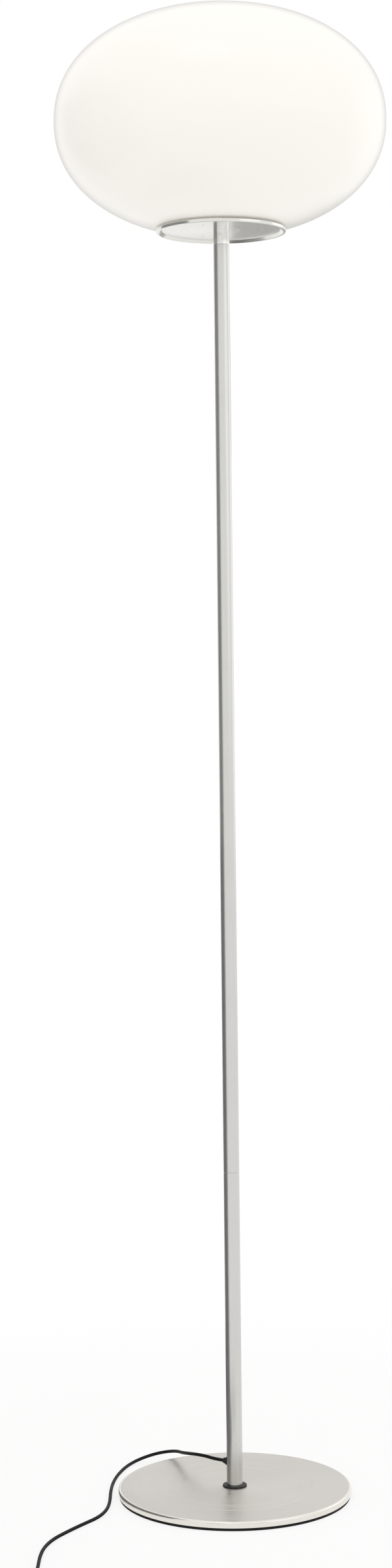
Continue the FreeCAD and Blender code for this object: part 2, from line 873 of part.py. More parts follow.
def make_globe(d, at):
    """Flattened opal globe with a flat foot around its mouth."""
    drop = d.globe_middle_rise.value
    wall = d.glass_wall.value
    square = d.globe_squareness.value
    high = d.globe_half_height.value
    wide = d.globe_radius.value
    outer_end = angle_at_depth(drop, high, square)
    inner_end = angle_at_depth(drop - wall, high - wall, square)
    outer, outer_top, outer_foot = squared_oval(wide, high, square, outer_end)
    inner, inner_top, inner_foot = squared_oval(wide - wall, high - wall, square, inner_end)
    mouth = d.mouth_radius.value
    corners = [outer_foot, Vector(mouth, 0, -drop), Vector(mouth, 0, wall - drop), inner_foot]
    edges = [Part.LineSegment(a, b).toShape() for a, b in zip(corners, corners[1:])]
    edges += [*outer, *inner, Part.LineSegment(inner_top, outer_top).toShape()]
    face = Part.Face(Part.Wire(Part.__sortEdges__(edges)))
    solid = face.revolve(Vector(0, 0, 0), Vector(0, 0, 1), 360)
    globe = solid_feature("globe", solid)
    place(globe, z=at.globe_middle)


def make_gasket(d, at):
    """Soft ring between the dish and the glass."""
    inner = d.mouth_radius + d.gasket_inset
    ring("globe_gasket", inner + d.gasket_width, inner, at.dish_top, at.glass_seat)


def make_clips(d, at):
    """Three hairpin leaf springs inside the glass's mouth, each riveted to the dish."""
    half = d.clip_strip.value / 2
    low = at.dish_top.value + half
    high = at.dish_top.value + d.clip_height.value - half
    upright = at.clip_upright.value
    leg = upright + 5 * d.clip_strip.value
    touch = at.clip_reach.value - half
    touch_height = at.glass_seat.value + d.glass_wall.value / 2
    rail = [
        (upright - d.clip_foot_length.value, 0, low),
        (upright, 0, low),
        (upright, 0, high),
        (leg, 0, high),
        (touch, 0, touch_height),
        (touch - d.clip_kick.value, 0, touch_height - d.clip_kick.value),
    ]
    edges, _, _ = round_route(rail, bend=d.clip_bend.value)
    side = d.clip_width.value / 2
    corners = [(-side, -half), (side, -half), (side, half), (-side, half), (-side, -half)]
    start = rail[0][0]
    section = Part.makePolygon([Vector(start, y, low + z) for y, z in corners])
    strip = sweep(edges, section)
    drill_foot = Vector(at.rivet_circle.value, 0, low - 2 * half)
    drill = Part.makeCylinder((d.rivet_radius + d.slip_gap).value, 4 * half, drill_foot)
    strip = strip.cut(drill)
    for i in range(3):
        clip = solid_feature(f"globe_clip_{i + 1}", strip)
        place(clip, angle=120 * i)


def make_clip_rivets(d, at):
    """Three rivets through the clips' feet, flush with the dish's underside."""
    rivets = new_body("clip_rivets")
    strip_top = at.dish_top + d.clip_strip
    shank = new_sketch(rivets, "XY_Plane", at.dish_under)
    circle(shank, d.rivet_radius, at.rivet_circle)
    stem = pad(rivets, shank, strip_top - at.dish_under)
    crown = new_sketch(rivets, "XY_Plane", strip_top)
    circle(crown, d.rivet_head_radius, at.rivet_circle)
    head = pad(rivets, crown, d.rivet_head_height)
    repeat_round(rivets, [stem, head], 3)


# ---------------------------------------------------------------- lampholder


def make_holder_shells(d, at):
    """The lampholder's cap on the nut and its sleeve above."""
    cavity = d.holder_radius - d.holder_cap_wall
    floor = at.nut_top + d.holder_cap_floor
    turned(
        "holder_cap",
        [
            (at.nipple_hole, at.nut_top),
            (d.holder_radius - d.holder_cap_chamfer, at.nut_top),
            (d.holder_radius, at.nut_top + d.holder_cap_chamfer),
            (d.holder_radius, at.cap_top),
            (cavity, at.cap_top),
            (cavity, floor),
            (d.holder_boss_radius, floor),
            (d.holder_boss_radius, at.boss_top),
            (at.nipple_hole, at.boss_top),
        ],
    )
    lip_foot = at.sleeve_top - d.holder_lip_thickness
    turned(
        "holder_sleeve",
        [
            (at.sleeve_bore, at.cap_top),
            (d.holder_radius, at.cap_top),
            (d.holder_radius, at.sleeve_top),
            (d.holder_lip_radius, at.sleeve_top),
            (d.holder_lip_radius, lip_foot),
            (at.sleeve_bore, lip_foot),
        ],
    )


def make_holder_works(d, at):
    """Insulating core, threaded shell, centre contact and the two terminals."""
    core = at.sleeve_bore - d.seat_gap
    turned("holder_core", [(0, at.cap_top), (core, at.cap_top), (core, at.core_top), (0, at.core_top)])
    outer = d.holder_thread_radius + d.holder_thread_skin
    high = at.core_top + d.holder_thread_height
    ring("holder_thread", outer, d.holder_thread_radius, at.core_top, high)
    make_holder_contact(d, at)
    terminals = new_body("holder_terminals")
    half = d.terminal_side / 2
    blocks = new_sketch(terminals, "XY_Plane", at.cap_top - d.terminal_height)
    near = d.terminal_offset - half
    far = d.terminal_offset + half
    for a, b in ((near, far), (-far, -near)):
        polygon(blocks, [(a, -half), (b, -half), (b, half), (a, half)])
    pad(terminals, blocks, d.terminal_height)


def make_holder_contact(d, at):
    """A bent brass tongue that meets the bulb's tip."""
    contact = new_body("holder_contact")
    strip = d.contact_strip
    reach = d.contact_half_length
    low = at.core_top
    high = low + d.contact_lift
    outline = new_sketch(contact, "XZ_Plane")
    polygon(
        outline,
        [
            (-reach, low),
            (-reach / 2, low),
            (reach / 4, high - strip),
            (reach / 2, high - strip),
            (reach / 2, high),
            (reach / 4 - strip / 2, high),
            (-reach / 2 - strip / 2, low + strip),
            (-reach, low + strip),
        ],
    )
    pad(contact, outline, d.contact_width, both_ways=True)


def make_holder_wires(d, at):
    """The lead's two cores, from its end to the terminals."""
    low = at.lead_top.value
    high = (at.cap_top - d.terminal_height).value
    step = (high - low) / 3
    radius = d.wire_radius.value
    wires = []
    for side in (1, -1):
        inner = side * d.wire_offset.value
        outer = side * d.terminal_offset.value
        route = [
            (inner, 0, low),
            (inner, 0, low + step),
            (outer, 0, high - step),
            (outer, 0, high),
        ]
        edges, _, _ = round_route(route)
        wires.append(sweep(edges, round_section(Vector(*route[0]), Vector(0, 0, 1), radius)))
    solid_feature("holder_wires", Part.makeCompound(wires))


# ---------------------------------------------------------------- bulb


def make_bulb_cap(d, at):
    """Screw cap, its insulating foot and its tip contact."""
    tip = at.bulb_tip
    turned(
        "bulb_contact",
        [
            (0, tip),
            (d.bulb_contact_radius / 2, tip),
            (d.bulb_contact_radius, at.bulb_insulator_foot - d.bulb_contact_height / 3),
            (d.bulb_contact_radius, at.bulb_insulator_foot),
            (0, at.bulb_insulator_foot),
        ],
    )
    turned(
        "bulb_insulator",
        [
            (0, at.bulb_insulator_foot),
            (d.bulb_contact_radius + d.bulb_cap_skin, at.bulb_insulator_foot),
            (d.bulb_insulator_radius, at.bulb_cap_foot),
            (0, at.bulb_cap_foot),
        ],
    )
    skin = d.bulb_cap_skin
    inside = d.bulb_cap_radius - skin
    turned(
        "bulb_cap",
        [
            (d.bulb_insulator_radius - skin * 2, at.bulb_cap_foot),
            (d.bulb_insulator_radius, at.bulb_cap_foot),
            (d.bulb_cap_radius, at.bulb_cap_foot + skin * 4),
            (d.bulb_cap_radius, at.bulb_cap_top),
            (inside, at.bulb_cap_top),
            (inside, at.bulb_cap_foot + skin * 4),
            (d.bulb_insulator_radius - skin * 2, at.bulb_cap_foot + skin),
        ],
    )


def bulb_outline(neck, ball, low, neck_top, middle):
    """Half the outline of a bulb: a neck, a cone tangent to the ball, and the ball to its top."""
    shoulder = Vector(neck, 0, neck_top)
    centre = Vector(0, 0, middle)
    away = shoulder - centre
    turn = math.atan2(away.z, away.x) + math.acos(ball / away.Length)
    touch = centre + Vector(ball * math.cos(turn), 0, ball * math.sin(turn))
    half = (turn + math.pi / 2) / 2
    side = centre + Vector(ball * math.cos(half), 0, ball * math.sin(half))
    top = centre + Vector(0, 0, ball)
    foot = Vector(neck, 0, low)
    edges = [
        Part.LineSegment(foot, shoulder).toShape(),
        Part.LineSegment(shoulder, touch).toShape(),
        Part.Arc(touch, side, top).toShape(),
    ]
    return edges, foot, top


def make_bulb_envelope(d, at):
    """Thin pear-shaped envelope, open where it stands on the cap."""
    low = at.bulb_cap_top.value
    ball = d.bulb_radius.value
    skin = d.bulb_skin.value
    neck = d.bulb_cap_radius.value
    middle = at.bulb_tip.value + d.bulb_length.value - ball
    neck_top = low + d.bulb_neck_height.value
    outer, foot, top = bulb_outline(neck, ball, low, neck_top, middle)
    inner, inner_foot, inner_top = bulb_outline(neck - skin, ball - skin, low, neck_top, middle)
    ends = [Part.LineSegment(foot, inner_foot).toShape(), Part.LineSegment(top, inner_top).toShape()]
    face = Part.Face(Part.Wire(Part.__sortEdges__(outer + inner + ends)))
    solid_feature("bulb_envelope", face.revolve(Vector(0, 0, 0), Vector(0, 0, 1), 360))


# ---------------------------------------------------------------- foot switch


def at_switch(thing, d, z=0.0, **turn):
    """Place a piece that is modelled about the switch's middle, on the floor."""
    place(thing, d.switch_x, d.switch_y, z, **turn)


def cut_screw_holes(shell, d, foot, depth, radius):
    """Two holes, opposite each other across the switch, upwards from foot."""
    holes = new_sketch(shell, "XY_Plane", foot)
    circle(holes, radius, d.screw_x, d.screw_y)
    circle(holes, radius, -d.screw_x, -d.screw_y)
    pocket(shell, holes, depth, forward=True)


def add_screw_bosses(shell, d, at, foot, height):
    """The two posts that take the screws."""
    posts = new_sketch(shell, "XY_Plane", foot)
    circle(posts, at.boss_radius, d.screw_x, d.screw_y)
    circle(posts, at.boss_radius, -d.screw_x, -d.screw_y)
    pad(shell, posts, height)


def cut_cord_notches(shell, d):
    """Half-round notches at both ends, on the joint line, for the strain reliefs."""
    notch = new_sketch(shell, "YZ_Plane")
    circle(notch, d.relief_neck_radius + d.slip_gap, 0, d.switch_split)
    pocket(shell, notch, d.switch_length * 2, both_ways=True)


def hollow_shell(shell, d, foot, depth):
    """Cut the inside of a switch half, upwards from foot, leaving its wall."""
    inside = new_sketch(shell, "XY_Plane", foot)
    wall = d.switch_wall
    length = d.switch_length - wall * 2
    rounded_rectangle(inside, length, d.switch_width - wall * 2, d.switch_corner - wall)
    pocket(shell, inside, depth, forward=True)


def make_switch_base(d, at):
    """Lower half of the switch's housing."""
    shell = new_body("switch_base")
    outline = new_sketch(shell, "XY_Plane")
    rounded_rectangle(outline, d.switch_length, d.switch_width, d.switch_corner)
    pad(shell, outline, d.switch_split)
    dress(shell, "Chamfer", d.switch_bottom_chamfer, is_level(as_size(0)))
    hollow_shell(shell, d, d.switch_wall, d.switch_split)
    add_screw_bosses(shell, d, at, d.switch_wall, d.switch_split - d.switch_wall)
    cut_cord_notches(shell, d)
    head_room = d.screw_head_height + d.seat_gap
    cut_screw_holes(shell, d, as_size(0), head_room, d.screw_head_radius + d.slip_gap)
    cut_screw_holes(shell, d, as_size(0), d.switch_height, d.screw_radius + d.thread_gap)
    at_switch(shell, d)


def make_switch_cover(d, at):
    """Upper half of the housing, with the button's hole."""
    shell = new_body("switch_cover")
    outline = new_sketch(shell, "XY_Plane", d.switch_split)
    rounded_rectangle(outline, d.switch_length, d.switch_width, d.switch_corner)
    pad(shell, outline, d.switch_height - d.switch_split)
    dress(shell, "Fillet", d.switch_top_round, is_level(d.switch_height))
    hollow_shell(shell, d, d.switch_split, at.switch_roof - d.switch_split)
    add_screw_bosses(shell, d, at, d.switch_split, at.switch_roof - d.switch_split)
    hole = new_sketch(shell, "XY_Plane", d.switch_height)
    circle(hole, at.button_hole)
    pocket(shell, hole, d.switch_wall + d.hole_gap)
    cut_cord_notches(shell, d)
    bore = d.screw_length + d.seat_gap * 2 - d.switch_split
    cut_screw_holes(shell, d, d.switch_split, bore, d.screw_radius + d.slip_gap)
    at_switch(shell, d)


def make_switch_button(d, at):
    """Round foot button, held under the roof by its flange, and the plunger that it presses."""
    low = at.button_foot
    shoulder = low + d.button_flange
    edge = d.switch_height + d.button_rise - d.button_crown * 2
    button = turned(
        "switch_button",
        [
            (0, low),
            (at.button_hole + d.button_flange, low),
            (at.button_hole + d.button_flange, shoulder),
            (d.button_radius, shoulder),
            (d.button_radius, edge),
            (d.button_radius - d.button_crown, edge + d.button_crown),
            (d.button_radius / 2, edge + d.button_crown * 1.7),
            (0, d.switch_height + d.button_rise),
        ],
    )
    at_switch(button, d)
    plunger = turned(
        "switch_plunger",
        [
            (0, low - d.plunger_depth),
            (d.plunger_radius, low - d.plunger_depth),
            (d.plunger_radius, low),
            (0, low),
        ],
    )
    at_switch(plunger, d)


def make_switch_block(d, at):
    """The contact block, bored for the plunger."""
    block = new_body("switch_block")
    along = d.block_length / 2
    across = d.block_width / 2
    outline = new_sketch(block, "XY_Plane", d.switch_wall)
    polygon(outline, [(-along, -across), (along, -across), (along, across), (-along, across)])
    pad(block, outline, d.block_height)
    bore = new_sketch(block, "XY_Plane", at.block_top)
    circle(bore, d.plunger_radius + d.slip_gap)
    plunger_foot = at.button_foot - d.plunger_depth
    pocket(block, bore, at.block_top - plunger_foot + d.plunger_room)
    at_switch(block, d)


def make_switch_terminals(d):
    """Four brass terminals on the switch's floor, two towards each cord."""
    terminals = new_body("switch_terminals")
    half = d.switch_terminal_side / 2
    squares = new_sketch(terminals, "XY_Plane", d.switch_wall)
    for x in (d.switch_terminal_x, -d.switch_terminal_x):
        for y in (d.switch_terminal_y, -d.switch_terminal_y):
            left, right, near, far = x - half, x + half, y - half, y + half
            polygon(squares, [(left, near), (right, near), (right, far), (left, far)])
    pad(terminals, squares, d.switch_terminal_side)
    at_switch(terminals, d)


def make_switch_wires(d):
    """Short cores from both strain reliefs to the terminals."""
    start_x = (d.switch_length / 2 - d.switch_wall - d.relief_flange_thickness).value
    end_x = (d.switch_terminal_x + d.switch_terminal_side / 2).value
    step = (start_x - end_x) / 3
    low = (d.switch_wall + d.switch_terminal_side / 2).value
    high = d.switch_split.value
    wires = []
    for side in (1, -1):
        for row in (1, -1):
            inner = row * d.wire_offset.value
            outer = row * d.switch_terminal_y.value
            route = [
                (side * start_x, inner, high),
                (side * (start_x - step), inner, high),
                (side * (end_x + step), outer, low),
                (side * end_x, outer, low),
            ]
            edges, _, _ = round_route(route)
            section = round_section(Vector(*route[0]), Vector(-side, 0, 0), d.wire_radius.value)
            wires.append(sweep(edges, section))
    at_switch(solid_feature("switch_wires", Part.makeCompound(wires)), d)


def make_switch_screws(d):
    """Two screws, up through the base into the cover."""
    screws = new_body("switch_screws")
    for height, radius, length in (
        (d.seat_gap, d.screw_head_radius, d.screw_head_height),
        (d.seat_gap + d.screw_head_height, d.screw_radius, d.screw_length - d.screw_head_height),
    ):
        rounds = new_sketch(screws, "XY_Plane", height)
        circle(rounds, radius, d.screw_x, d.screw_y)
        circle(rounds, radius, -d.screw_x, -d.screw_y)
        pad(screws, rounds, length)
    at_switch(screws, d)


def make_switch_reliefs(d):
    """Tapered strain reliefs, gripped in the notches by a flange inside the wall."""
    inside = -(d.switch_wall + d.relief_flange_thickness)
    corners = [
        (0, inside),
        (d.relief_flange_radius, inside),
        (d.relief_flange_radius, -d.switch_wall - d.slip_gap),
        (d.relief_neck_radius, -d.switch_wall - d.slip_gap),
        (d.relief_neck_radius, d.slip_gap),
        (d.relief_root_radius, d.slip_gap),
        (d.bushing_tip_radius, d.relief_length),
        (0, d.relief_length),
    ]
    for label, side in (("switch_relief_lamp", -1), ("switch_relief_plug", 1)):
        relief = turned(label, corners)
        end = d.switch_x + d.switch_length / 2 * side
        place(relief, end, d.switch_y, d.switch_split, axis=Vector(0, 1, 0), angle=90 * side)


# ---------------------------------------------------------------- coil


def coil_station(turns, d, at):
    """Where the coil's centre line is after that many turns, and its heading there.

    The cord winds in along the lower layer and out along the upper. It climbs in the half turn
    about the place where the spiral reverses.
    """
    layer = d.coil_layer_turns.value
    outer = d.coil_outer_radius.value
    pitch = d.coil_pitch.value
    past = turns - layer
    climbed = min(max(past / 0.5 + 0.5, 0.0), 1.0)
    radius = outer - pitch * (layer - abs(past))
    steady = 0 < turns < 2 * layer and past != 0
    drift = math.copysign(pitch, past) if steady else 0.0
    height = at.coil_floor.value + d.coil_layer_rise.value * climbed**2 * (3 - 2 * climbed)
    rise = d.coil_layer_rise.value * 6 * climbed * (1 - climbed) / 0.5
    angle = math.radians(360 * turns - 90)
    out = Vector(math.cos(angle), math.sin(angle), 0)
    round_ = Vector(-math.sin(angle), math.cos(angle), 0)
    spot = out * radius + Vector(0, 0, height)
    heading = (round_ * (2 * math.pi * radius) + out * drift + Vector(0, 0, rise)).normalize()
    return spot, heading


def coil_middle(d):
    """The coil's middle: its tail runs straight for one cord's width, then the turns begin."""
    start = Vector(*TO_COIL_ROUTE[-1])
    return Vector(start.x + 2 * d.cord_radius.value, start.y + d.coil_outer_radius.value, 0)


def coil_path(d, at):
    """The coil's centre line: a straight tail, the turns as biarcs of a quarter turn, a tail."""
    middle = coil_middle(d)
    quarters = int(8 * d.coil_layer_turns.value)
    stations = [coil_station(i / 4, d, at) for i in range(quarters + 1)]
    tail = 2 * d.cord_radius.value
    first, heading = stations[0]
    edges = [Part.LineSegment(middle + first - heading * tail, middle + first).toShape()]
    for (a, from_), (b, to) in zip(stations, stations[1:]):
        edges += biarc(middle + a, from_, middle + b, to)
    last, heading = stations[-1]
    edges.append(Part.LineSegment(middle + last, middle + last + heading * tail).toShape())
    return edges


def print_coil_gap(edges, radius):
    """Print the least gap between the coil's turns, measured on points along its centre line."""
    spots = []
    run = 0.0
    for edge in edges:
        points = edge.discretize(Number=7)
        spots += [(run + edge.Length * i / 6, point) for i, point in enumerate(points[:-1])]
        run += edge.Length
    least = math.inf
    for i, (here, a) in enumerate(spots):
        for there, b in spots[i + 1 :]:
            if there - here > 8 * radius:
                least = min(least, a.distanceToPoint(b))
    print(f"cord_coil: least gap between turns {least - 2 * radius:.2f}")


def make_coil(d, at):
    """The cord that is put away, wound in two layers of spiral turns."""
    edges = coil_path(d, at)
    radius = d.cord_radius.value
    start = edges[0].Vertexes[0].Point
    solid = sweep(edges, round_section(start, Vector(1, 0, 0), radius))
    length = sum(edge.Length for edge in edges)
    share = solid.Volume / (math.pi * radius**2 * length)
    print(f"cord_coil: length {length:.1f}, volume over section {share:.4f}")
    print_coil_gap(edges, radius)
    solid_feature("cord_coil", solid)


def turns_at(angle, d):
    """The counts of turns at which the coil passes under a tie at that angle."""
    total = 2 * d.coil_layer_turns.value
    first = (angle + 90) % 360 / 360
    return [first + i for i in range(int(total - first) + 1)]


def make_coil_ties(d, at):
    """Straps round the coil's turns."""
    count = int(d.tie_count.value)
    gap = d.seat_gap.value + d.cord_radius.value
    strap = d.tie_strap.value
    top = at.coil_floor.value + d.coil_layer_rise.value + gap + strap
    half = d.tie_width.value / 2
    ties = []
    for i in range(count):
        angle = 180 / count * i + 45
        reaches = [coil_station(t, d, at)[0] for t in turns_at(angle, d)]
        radii = [math.hypot(spot.x, spot.y) for spot in reaches]
        near = min(radii) - gap - strap
        far = max(radii) + gap + strap
        block = Part.makeBox(far - near, 2 * half, top, Vector(near, -half, 0))
        inside = Part.makeBox(
            far - near - 2 * strap, 2 * half, top - 2 * strap, Vector(near + strap, -half, strap)
        )
        tie = block.cut(inside)
        tie.rotate(Vector(0, 0, 0), Vector(0, 0, 1), angle)
        tie.translate(coil_middle(d))
        ties.append(tie)
    solid_feature("coil_ties", Part.makeCompound(ties))


# ---------------------------------------------------------------- plug


def plug_place(thing, d, z=0.0):
    """Place a piece that is modelled about the plug's middle."""
    back = d.plug_length / 2 + d.plug_relief_length
    place(thing, back + TO_PLUG_ROUTE[-1][0], TO_PLUG_ROUTE[-1][1], d.plug_thickness / 2 + z)


def make_plug_body(d):
    """Moulded plug body with a tapered strain relief, lying flat."""
    plug = new_body("plug_body")
    front = d.plug_length / 2
    wide = d.plug_width / 2
    narrow = d.plug_back_width / 2
    outline = new_sketch(plug, "XY_Plane")
    polygon(
        outline,
        [
            (front, -wide),
            (front, wide),
            (front - d.plug_shoulder, wide),
            (-front, narrow),
            (-front, -narrow),
            (front - d.plug_shoulder, -wide),
        ],
    )
    pad(plug, outline, d.plug_thickness, both_ways=True)
    half = d.plug_thickness / 2
    flat = (is_level(half), is_level(-half))
    dress(plug, "Fillet", d.plug_round, lambda edge: any(pick(edge) for pick in flat))
    relief_end = -front - d.plug_relief_length
    revolve(
        plug,
        [
            (relief_end, 0),
            (-front + d.plug_round, 0),
            (-front + d.plug_round, d.plug_relief_radius),
            (-front - d.plug_round, d.plug_relief_radius),
            (relief_end, d.bushing_tip_radius),
        ],
        axis="H_Axis",
    )
    sockets = new_sketch(plug, "YZ_Plane", front)
    for side in (d.pin_spread, -d.pin_spread):
        circle(sockets, d.pin_core_radius + d.slip_gap, side, 0)
    pocket(plug, sockets, d.pin_root + d.slip_gap)
    plug_place(plug, d)


def make_plug_pins(d):
    """Two round pins, each with a thinner core under its sleeve, and their sleeves."""
    front = d.plug_length / 2
    sleeve_end = front + d.pin_sleeve_length
    pins = new_body("plug_pins")
    for start, radius, length in (
        (front - d.pin_root, d.pin_core_radius, d.pin_root + d.pin_sleeve_length),
        (sleeve_end, d.pin_radius, d.pin_length - d.pin_sleeve_length),
    ):
        rounds = new_sketch(pins, "YZ_Plane", start)
        for side in (d.pin_spread, -d.pin_spread):
            circle(rounds, radius, side, 0)
        pad(pins, rounds, length)
    plug_place(pins, d)
    sleeves = new_body("pin_sleeves")
    rings = new_sketch(sleeves, "YZ_Plane", front)
    for side in (d.pin_spread, -d.pin_spread):
        circle(rings, d.pin_radius - d.slip_gap, side, 0)
        circle(rings, d.pin_core_radius + d.slip_gap, side, 0)
    pad(sleeves, rings, d.pin_sleeve_length)
    plug_place(sleeves, d)


# ---------------------------------------------------------------- the whole lamp


def build_lamp():
    """Make every sub-part."""
    d = fill_sheet()
    at = work_out_places(d)
    make_base_cover(d, at)
    make_base_weight(d, at)
    make_base_pad(d)
    make_base_bolt(d, at)
    make_foot_ring(d, at)
    make_pole(d, at)
    make_pole_inserts(d, at)
    make_cord_bushing(d, at)
    make_inner_lead(d, at)
    make_neck(d, at)
    make_dish(d, at)
    make_head_fixings(d, at)
    make_globe(d, at)
    make_gasket(d, at)
    make_clips(d, at)
    make_clip_rivets(d, at)
    make_holder_shells(d, at)
    make_holder_works(d, at)
    make_holder_wires(d, at)
    make_bulb_cap(d, at)
    make_bulb_envelope(d, at)
    make_switch_base(d, at)
    make_switch_cover(d, at)
    make_switch_button(d, at)
    make_switch_block(d, at)
    make_switch_terminals(d)
    make_switch_wires(d)
    make_switch_screws(d)
    make_switch_reliefs(d)
    cord_tube("cord_lamp_side", LAMP_SIDE_ROUTE, d.cord_radius.value)
    cord_tube("cord_to_coil", TO_COIL_ROUTE, d.cord_radius.value)
    make_coil(d, at)
    make_coil_ties(d, at)
    cord_tube("cord_to_plug", TO_PLUG_ROUTE, d.cord_radius.value)
    make_plug_body(d)
    make_plug_pins(d)
    DOC.recompute()


def check_lamp():
    """Stop if any object failed, or any sub-part's shape is null or invalid."""
    for thing in DOC.Objects:
        if {"Invalid", "Error"} & set(thing.State):
            raise RuntimeError(f"{thing.Label} failed: {thing.State}")
    for thing in SUB_PARTS:
        if thing.Shape.isNull() or not thing.Shape.isValid() or not thing.Shape.Solids:
            raise RuntimeError(f"{thing.Label} has no valid solid")


def write_lamp():
    """Write one file for each sub-part."""
    os.makedirs("parts", exist_ok=True)
    for thing in SUB_PARTS:
        thing.Shape.exportStep(f"parts/{thing.Label}.step")
        print(f"{thing.Label}: {len(thing.Shape.Solids)} solid(s), {thing.Shape.Volume / 1000:.2f} cm3")


build_lamp()
check_lamp()
write_lamp()
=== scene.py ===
"""A standing lamp: an opal glass globe on a shallow dish, a thin pole, a round base and its cord.

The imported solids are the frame. The finer pieces made here replace some of them, and the rest keep
their solids and get a finish. Everything is in metres, with the floor at z = 0 and the pole on the
z axis. The viewer looks along +y.
"""

import json
import logging
import math
from collections.abc import Callable, Sequence
from dataclasses import dataclass, field
from enum import Enum

import bmesh
import bpy
from mathutils import Matrix, Vector

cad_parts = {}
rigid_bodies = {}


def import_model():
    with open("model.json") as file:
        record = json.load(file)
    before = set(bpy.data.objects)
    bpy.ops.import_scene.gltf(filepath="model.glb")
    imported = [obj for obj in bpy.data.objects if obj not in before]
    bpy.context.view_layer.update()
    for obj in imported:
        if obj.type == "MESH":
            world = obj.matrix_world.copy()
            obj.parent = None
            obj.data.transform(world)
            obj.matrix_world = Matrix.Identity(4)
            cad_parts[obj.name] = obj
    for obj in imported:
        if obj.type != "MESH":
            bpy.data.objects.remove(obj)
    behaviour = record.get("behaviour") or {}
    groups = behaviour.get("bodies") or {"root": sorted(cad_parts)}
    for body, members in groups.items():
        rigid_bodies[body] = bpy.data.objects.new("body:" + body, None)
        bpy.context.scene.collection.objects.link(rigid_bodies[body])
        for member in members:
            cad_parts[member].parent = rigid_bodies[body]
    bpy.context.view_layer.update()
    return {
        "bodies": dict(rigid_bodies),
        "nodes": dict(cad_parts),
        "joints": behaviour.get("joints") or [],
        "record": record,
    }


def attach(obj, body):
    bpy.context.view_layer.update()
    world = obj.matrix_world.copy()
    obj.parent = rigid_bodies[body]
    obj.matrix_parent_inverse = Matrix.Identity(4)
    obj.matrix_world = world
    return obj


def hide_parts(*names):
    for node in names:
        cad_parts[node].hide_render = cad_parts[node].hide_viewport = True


LOG = logging.getLogger("lamp")
MM = 0.001
# Points nearer than this are one point.
TOUCHING = 1e-7
# Keeps a square root off the axis from being nothing.
OFF_AXIS = 1e-8
# How high the fine reliefs of the finishes stand.
POLISH_GRAIN = 0.00001
TOOL_GRAIN = 0.00002
SPARK_GRAIN = 0.00006
# The rise in one turn of the thread that the bulb and its holder share.
CAP_PITCH = 0.00363
Colour = tuple[float, float, float]
Point = tuple[float, float, float]
Flat = tuple[float, float]

# The cord's centre lines: the turning points of its free stretches.
LAMP_SIDE_ROUTE: list[Point] = [
    (-0.01343, 0.007754, 0.0391),
    (-0.02382, 0.013753, 0.0391),
    (-0.035, 0.024, 0.0398),
    (-0.0465, 0.041, 0.037),
    (-0.056, 0.065, 0.0312),
    (-0.064, 0.09, 0.025),
    (-0.07, 0.113, 0.0202),
    (-0.082, 0.131, 0.0148),
    (-0.099, 0.139, 0.0095),
    (-0.117, 0.135, 0.0046),
    (-0.1305, 0.12, 0.002),
    (-0.139, 0.095, 0.002),
    (-0.1455, 0.066, 0.002),
    (-0.149, 0.036, 0.002),
    (-0.15, 0.004, 0.002),
    (-0.1495, -0.029, 0.002),
    (-0.152, -0.061, 0.002),
    (-0.161, -0.089, 0.002),
    (-0.1775, -0.1125, 0.002),
    (-0.1935, -0.1375, 0.002),
    (-0.2095, -0.165, 0.002),
    (-0.2185, -0.194, 0.002),
    (-0.2215, -0.225, 0.002),
    (-0.2215, -0.256, 0.002),
    (-0.222, -0.284, 0.002),
    (-0.219, -0.31, 0.002),
    (-0.211, -0.335, 0.0024),
    (-0.196, -0.355, 0.0055),
    (-0.178, -0.362, 0.009),
    (-0.162, -0.362, 0.009),
]
TO_COIL_ROUTE: list[Point] = [
    (-0.054, -0.362, 0.009),
    (-0.04, -0.362, 0.009),
    (-0.023, -0.367, 0.0068),
    (-0.0077, -0.3775, 0.0042),
    (0.0095, -0.3825, 0.0031),
    (0.023, -0.3825, 0.0031),
]
TO_PLUG_ROUTE: list[Point] = [
    (0.031, -0.3825, 0.0076),
    (0.044, -0.3825, 0.0076),
    (0.062, -0.3775, 0.0072),
    (0.082, -0.374, 0.00685),
    (0.098, -0.374, 0.00685),
]


class Body(str, Enum):
    """The rigid bodies that the pieces made here ride on."""

    STAND = "stand"
    GLASS = "glass"
    BULB = "bulb"
    FOOT_BUTTON = "foot_button"


class Brushing(Enum):
    """Which way a metal's tool lines run, as frequencies round, across and along the z axis."""

    AROUND = (2.5, 1900.0, 1900.0)
    ALONG = (420.0, 60.0, 9.0)


# ------------------------------------------------------------------------------- node groups


def add_node(tree: bpy.types.NodeTree, kind: str, **settings: object) -> bpy.types.Node:
    """Add a node to a shader tree.

    Args:
        tree: the tree.
        kind: the node's type, without the word ShaderNode.
        settings: properties to set on it.

    Returns:
        The node.
    """
    made = tree.nodes.new(f"ShaderNode{kind}")
    for name, value in settings.items():
        setattr(made, name, value)
    return made


def feed(target: bpy.types.NodeSocket, value: object) -> None:
    """Give an input a link from a socket, a colour or a number."""
    if isinstance(value, bpy.types.NodeSocket):
        target.id_data.links.new(value, target)
    elif isinstance(value, tuple):
        target.default_value = (*value, 1.0)
    else:
        target.default_value = value


